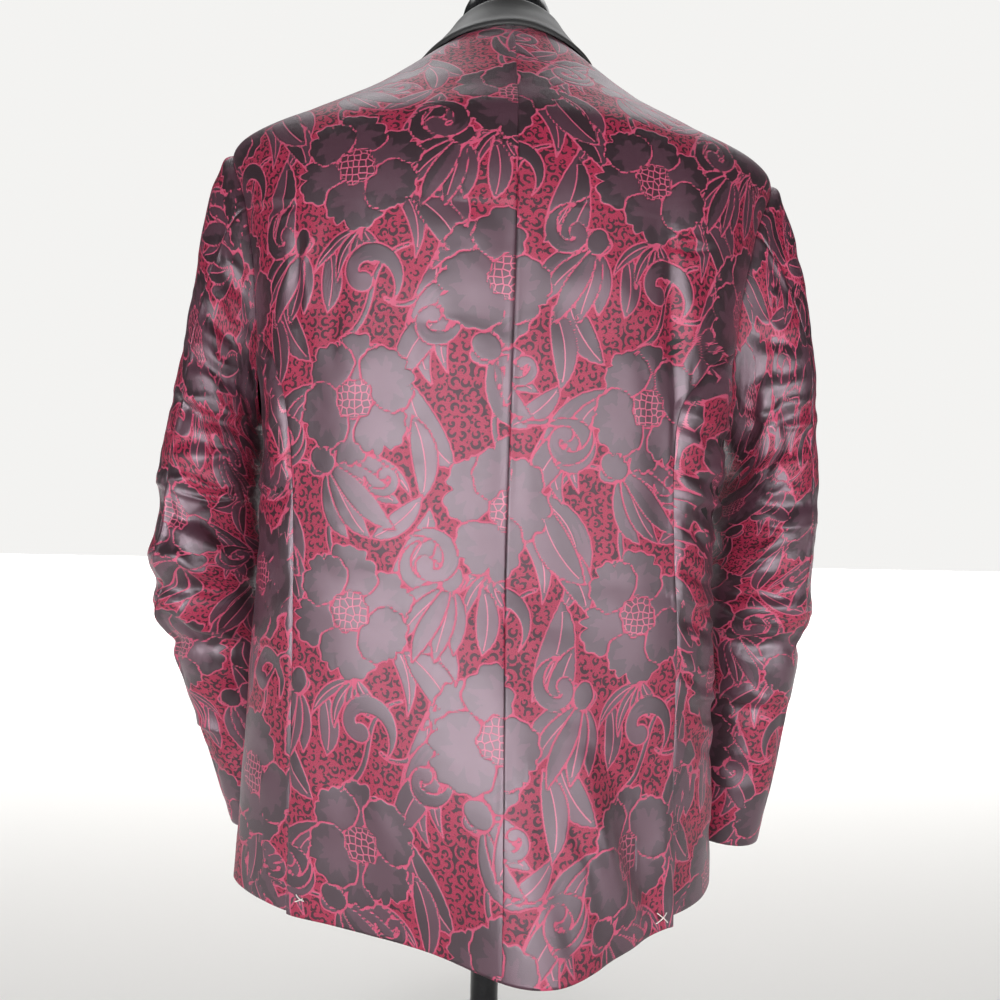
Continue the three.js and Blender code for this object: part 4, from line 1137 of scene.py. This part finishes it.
start_turn = float(front_left_edge(NECK_V)) + math.radians(14)
turn = np.linspace(start_turn, math.pi - start_turn, 120)
t = np.abs(turn - math.pi / 2) / (math.pi / 2 - float(front_left_edge(NECK_V)))
full = rise_at(turn, step(0, 0.42, 1 - t))
length = np.linalg.norm(full, axis=-1)
way = full / length[:, None]
side_way = unit(np.stack([-way[:, 0], -way[:, 1], 0 * turn], -1))
nrm = side_way * way[:, 2:3] + np.stack([0 * turn, 0 * turn, np.hypot(way[:, 0], way[:, 1])], -1)
height = mix(SEAM_GAP * 1.5, (length - SEAM_GAP)[:, None], np.linspace(0, 1, 12)[None, :])
outer = plain_point(turn, NECK_V)[:, None, :] + way[:, None, :] * height[..., None]
inner = outer - nrm[:, None, :] * 1.8
stand = shell("collar_stand", outer, inner, None, None, (SATIN, SATIN), coarse=2)
declare(stand, "collar_stand")


# button, thread, form and stand
def lathe(name, profile, segments, material, node):
    a = np.linspace(0, 2 * math.pi, segments, endpoint=False)
    r, z = np.array(profile, float).T
    a = a[:, None]
    ring = np.stack([r * np.cos(a), r * np.sin(a), z + 0 * a], -1)
    n, m = ring.shape[:2]
    i, j = np.meshgrid(np.arange(n), np.arange(m - 1), indexing="ij")
    a0, a1 = i * m + j, ((i + 1) % n) * m + j
    faces = np.stack([a0, a1, a1 + 1, a0 + 1], -1).reshape(-1, 4)
    obj = make_object(name, ring.reshape(-1, 3), faces, [material])
    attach(obj, "root")
    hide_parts(node)
    return obj


def rounded(corners, radius):
    """A profile whose inner corners are rounded."""
    out = [corners[0]]
    steps = 4
    for a, b, c in zip(corners, corners[1:], corners[2:]):
        a, b, c = (np.array(q, float) for q in (a, b, c))
        back, on = a - b, c - b
        reach = min(radius, 0.4 * np.linalg.norm(back), 0.4 * np.linalg.norm(on))
        p, s = b + back / np.linalg.norm(back) * reach, b + on / np.linalg.norm(on) * reach
        for k in range(steps + 1):
            t = k / steps
            out.append(tuple((1 - t) ** 2 * p + 2 * t * (1 - t) * b + t * t * s))
    return out + [corners[-1]]


bottom = BASE_HEIGHT + TOUCH
profile = [(0.01, 0), (BASE_RADIUS - 2, 0), (BASE_RADIUS, 2), (BASE_RADIUS, 7),
           (BASE_RADIUS - 8, BASE_HEIGHT - 2), (BASE_RADIUS - 20, BASE_HEIGHT), (0.01, BASE_HEIGHT)]
lathe("base_plate", rounded(profile, 2.5), 128, METAL, "base_plate")
bore = POLE_RADIUS + TOUCH
profile = [(bore, bottom), (SOCKET_RADIUS + 8, bottom), (SOCKET_RADIUS + 8, bottom + 5),
           (SOCKET_RADIUS, bottom + 8), (SOCKET_RADIUS - 3, bottom + SOCKET_HEIGHT),
           (bore, bottom + SOCKET_HEIGHT), (bore, bottom)]
lathe("pole_socket", rounded(profile, 1.5), 96, METAL, "pole_socket")
top = FORM_FOOT_Z - TOUCH
profile = [(0.01, bottom), (POLE_RADIUS, bottom), (POLE_RADIUS, top), (0.01, top)]
lathe("stand_pole", rounded(profile, 0.6), 72, METAL, "stand_pole")

inset = smooth(FORM_INSET)
turns = np.linspace(0, 2 * math.pi, 128, endpoint=False)


def form_ring(v):
    at = min(max(v, 1), NECK_V - 1)
    nrm = normal_of(plain_point, turns, np.full(turns.shape, float(at)), 0.004, 0.5)
    return plain_point(turns, np.full(turns.shape, float(v))) - nrm * inset(v)


def neck_ring(radius, z):
    p = plain_point(turns, np.full(turns.shape, float(NECK_V)))
    a = np.arctan2(p[:, 1] - NECK_Y, p[:, 0])
    return np.stack([radius * np.cos(a), NECK_Y + radius * np.sin(a), np.full(a.shape, float(z))], -1)


foot = plain_point(turns, np.full(turns.shape, float(FORM_BOTTOM_V))) * np.array([0.78, 0.7, 1])
foot[:, 2] = FORM_FOOT_Z
rings = [foot * np.array([k, k, 1]) for k in (0.02, 0.5, 0.96)]
rings.append(foot + np.array([0, 0, 0.8]))
first = form_ring(FORM_BOTTOM_V)
rings += [mix(foot, first, np.array([k, k, k ** 2])) for k in (0.35, 0.7, 0.92)]
rings += [form_ring(v) for v in np.linspace(FORM_BOTTOM_V, NECK_V, 90)]
rings += [neck_ring(radius, z) for radius, z in NECK_CURVE]
for k in np.radians([0, 10, 20, 30, 40, 50, 60, 70, 80, 89]):
    rings.append(neck_ring(NECK_RADIUS * math.cos(k), NECK_TOP_Z + NECK_RADIUS * math.sin(k)))
rings = np.array(rings)
n, m = rings.shape[:2]
i, j = np.meshgrid(np.arange(n - 1), np.arange(m), indexing="ij")
a0, a1 = i * m + j, i * m + (j + 1) % m
faces = np.stack([a0, a1, a1 + m, a0 + m], -1).reshape(-1, 4)
form = make_object("dress_form", rings.reshape(-1, 3), faces, [FORM])
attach(form, "root")
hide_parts("dress_form")

turn = turn_at(BUTTON_V, 0.5, -1)
nrm = cloth_normal(turn, np.array(float(BUTTON_V)))
seat = cloth_point(turn, np.array(float(BUTTON_V))) + nrm * (LAP + 0.8)
profile = [(0.01, 0), (8.6, 0), (10, 1.2), (9.6, 2.8), (7, 4), (0.01, 4.6)]
button = lathe("front_button", rounded(profile, 1.2), 48, SATIN, "front_button")
spin = Vector((0, 0, 1)).rotation_difference(Vector(nrm)).to_matrix().to_4x4()
button.data.transform(Matrix.Translation(Vector(seat) / 1000) @ spin)


def stitches(name, side, spots):
    """Short loose basting stitches that still tack the vent shut."""
    points, faces = [], []
    for (du, v), (du2, v2) in spots:
        line = []
        for t in np.linspace(0, 1, 7):
            at_v = mix(v, v2, t)
            edge = float(EDGE_BACK[side](at_v))
            at_turn = edge + side * mix(du, du2, t) * float(turn_per_mm(edge, np.array(at_v)))
            c = cloth_point(at_turn, np.array(at_v))
            nn = cloth_normal(at_turn, np.array(at_v))
            gape = float(back_lift(side)(np.array(at_turn), np.array(at_v))) if du > 0 else 0.0
            line.append(c + nn * (gape + 0.5 + 1.0 * math.sin(math.pi * t)))
        line = np.array(line)
        way = unit(np.gradient(line, axis=0))
        s1 = unit(np.cross(way, np.array([0.3, 0.2, 1.0])))
        s2 = np.cross(way, s1)
        base = len(points)
        for k in range(len(line)):
            for a in range(6):
                b = a * math.pi / 3
                points.append(line[k] + 0.45 * (s1[k] * math.cos(b) + s2[k] * math.sin(b)))
        for k in range(len(line) - 1):
            for a in range(6):
                c0, c1 = base + k * 6 + a, base + k * 6 + (a + 1) % 6
                faces.append((c0, c1, c1 + 6, c0 + 6))
    obj = make_object(name, points, faces, [THREAD])
    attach(obj, "root")


stitches("basting_left", 1, [((9, 13), (16, 17)), ((17, 15), (10, 19))])
stitches("basting_right", -1, [((8, 6), (18, 16)), ((19, 8), (9, 14))])

# floor, light and camera
pale = Graph(bpy.data.materials.new("studio_floor"))
pale.put(pale.surface, {"Base Color": (0.80, 0.79, 0.77, 1), "Roughness": 0.9})
corners = [(-6000, -6000, 0), (6000, -6000, 0), (6000, 6000, 0), (-6000, 6000, 0)]
floor = make_object("studio_floor", corners, [(0, 1, 2, 3)], [pale.owner], smooth_faces=False)

# the wall behind is pale to the eye and gives little light
wall = Graph(bpy.data.worlds.new("studio"), "Background")
seen = wall.add("LightPath", {}, "Is Camera Ray")
wall.put(wall.surface, {"Color": wall.blend(seen, (0.035, 0.035, 0.035), (0.90, 0.895, 0.88))})
bpy.context.scene.world = wall.owner
bpy.context.scene.view_settings.view_transform = "Standard"


def area_light(name, place, aim, size, power, spread=180):
    data = bpy.data.lights.new(name, "AREA")
    data.shape = "RECTANGLE"
    data.size, data.size_y = size
    data.energy = power
    data.spread = math.radians(spread)
    obj = bpy.data.objects.new(name, data)
    obj.location = place
    obj.rotation_euler = (Vector(aim) - Vector(place)).to_track_quat("-Z", "Y").to_euler()
    bpy.context.scene.collection.objects.link(obj)


area_light("window", (0.80, 2.3, 0.27), (0, 0, 0.44), (3.2, 0.46), 32, 110)
area_light("side_soft", (-1.5, 2.1, 0.27), (0, 0, 0.44), (1.5, 0.46), 9, 110)
area_light("front_soft", (-0.8, -2.2, 2.4), (0, 0, 0.5), (2.2, 2.2), 16)
area_light("overhead", (0, 0.0, 3.2), (0, 0, 0), (2.4, 1.6), 1)
area_light("floor_behind", (0, -5.0, 3.5), (0, -5.0, 0), (12.0, 8.0), 780, 90)
area_light("floor_ahead", (0, 6.2, 3.5), (0, 6.2, 0), (12.0, 8.0), 420, 60)

camera_data = bpy.data.cameras.new("photo_view")
camera_data.sensor_width = 36
camera_data.lens = FOCAL_PX / PHOTO_PX * camera_data.sensor_width
camera_data.shift_x = (MIDDLE_PX - AXIS_PX) / PHOTO_PX
camera_data.clip_start = 0.02
camera = bpy.data.objects.new("photo_view", camera_data)
away = Vector((math.sin(EYE_TURN), math.cos(EYE_TURN), 0))
right = Vector((-math.cos(EYE_TURN), math.sin(EYE_TURN), 0))
basis = Matrix((right, Vector((0, 0, 1)), away)).transposed().to_4x4()
camera.matrix_world = (Matrix.Translation(away * EYE_DISTANCE / 1000 + Vector((0, 0, EYE_Z / 1000))) @ basis
                       @ Matrix.Rotation(math.atan(EYE_ROLL), 4, "Z"))
bpy.context.scene.collection.objects.link(camera)
bpy.context.scene.camera = camera
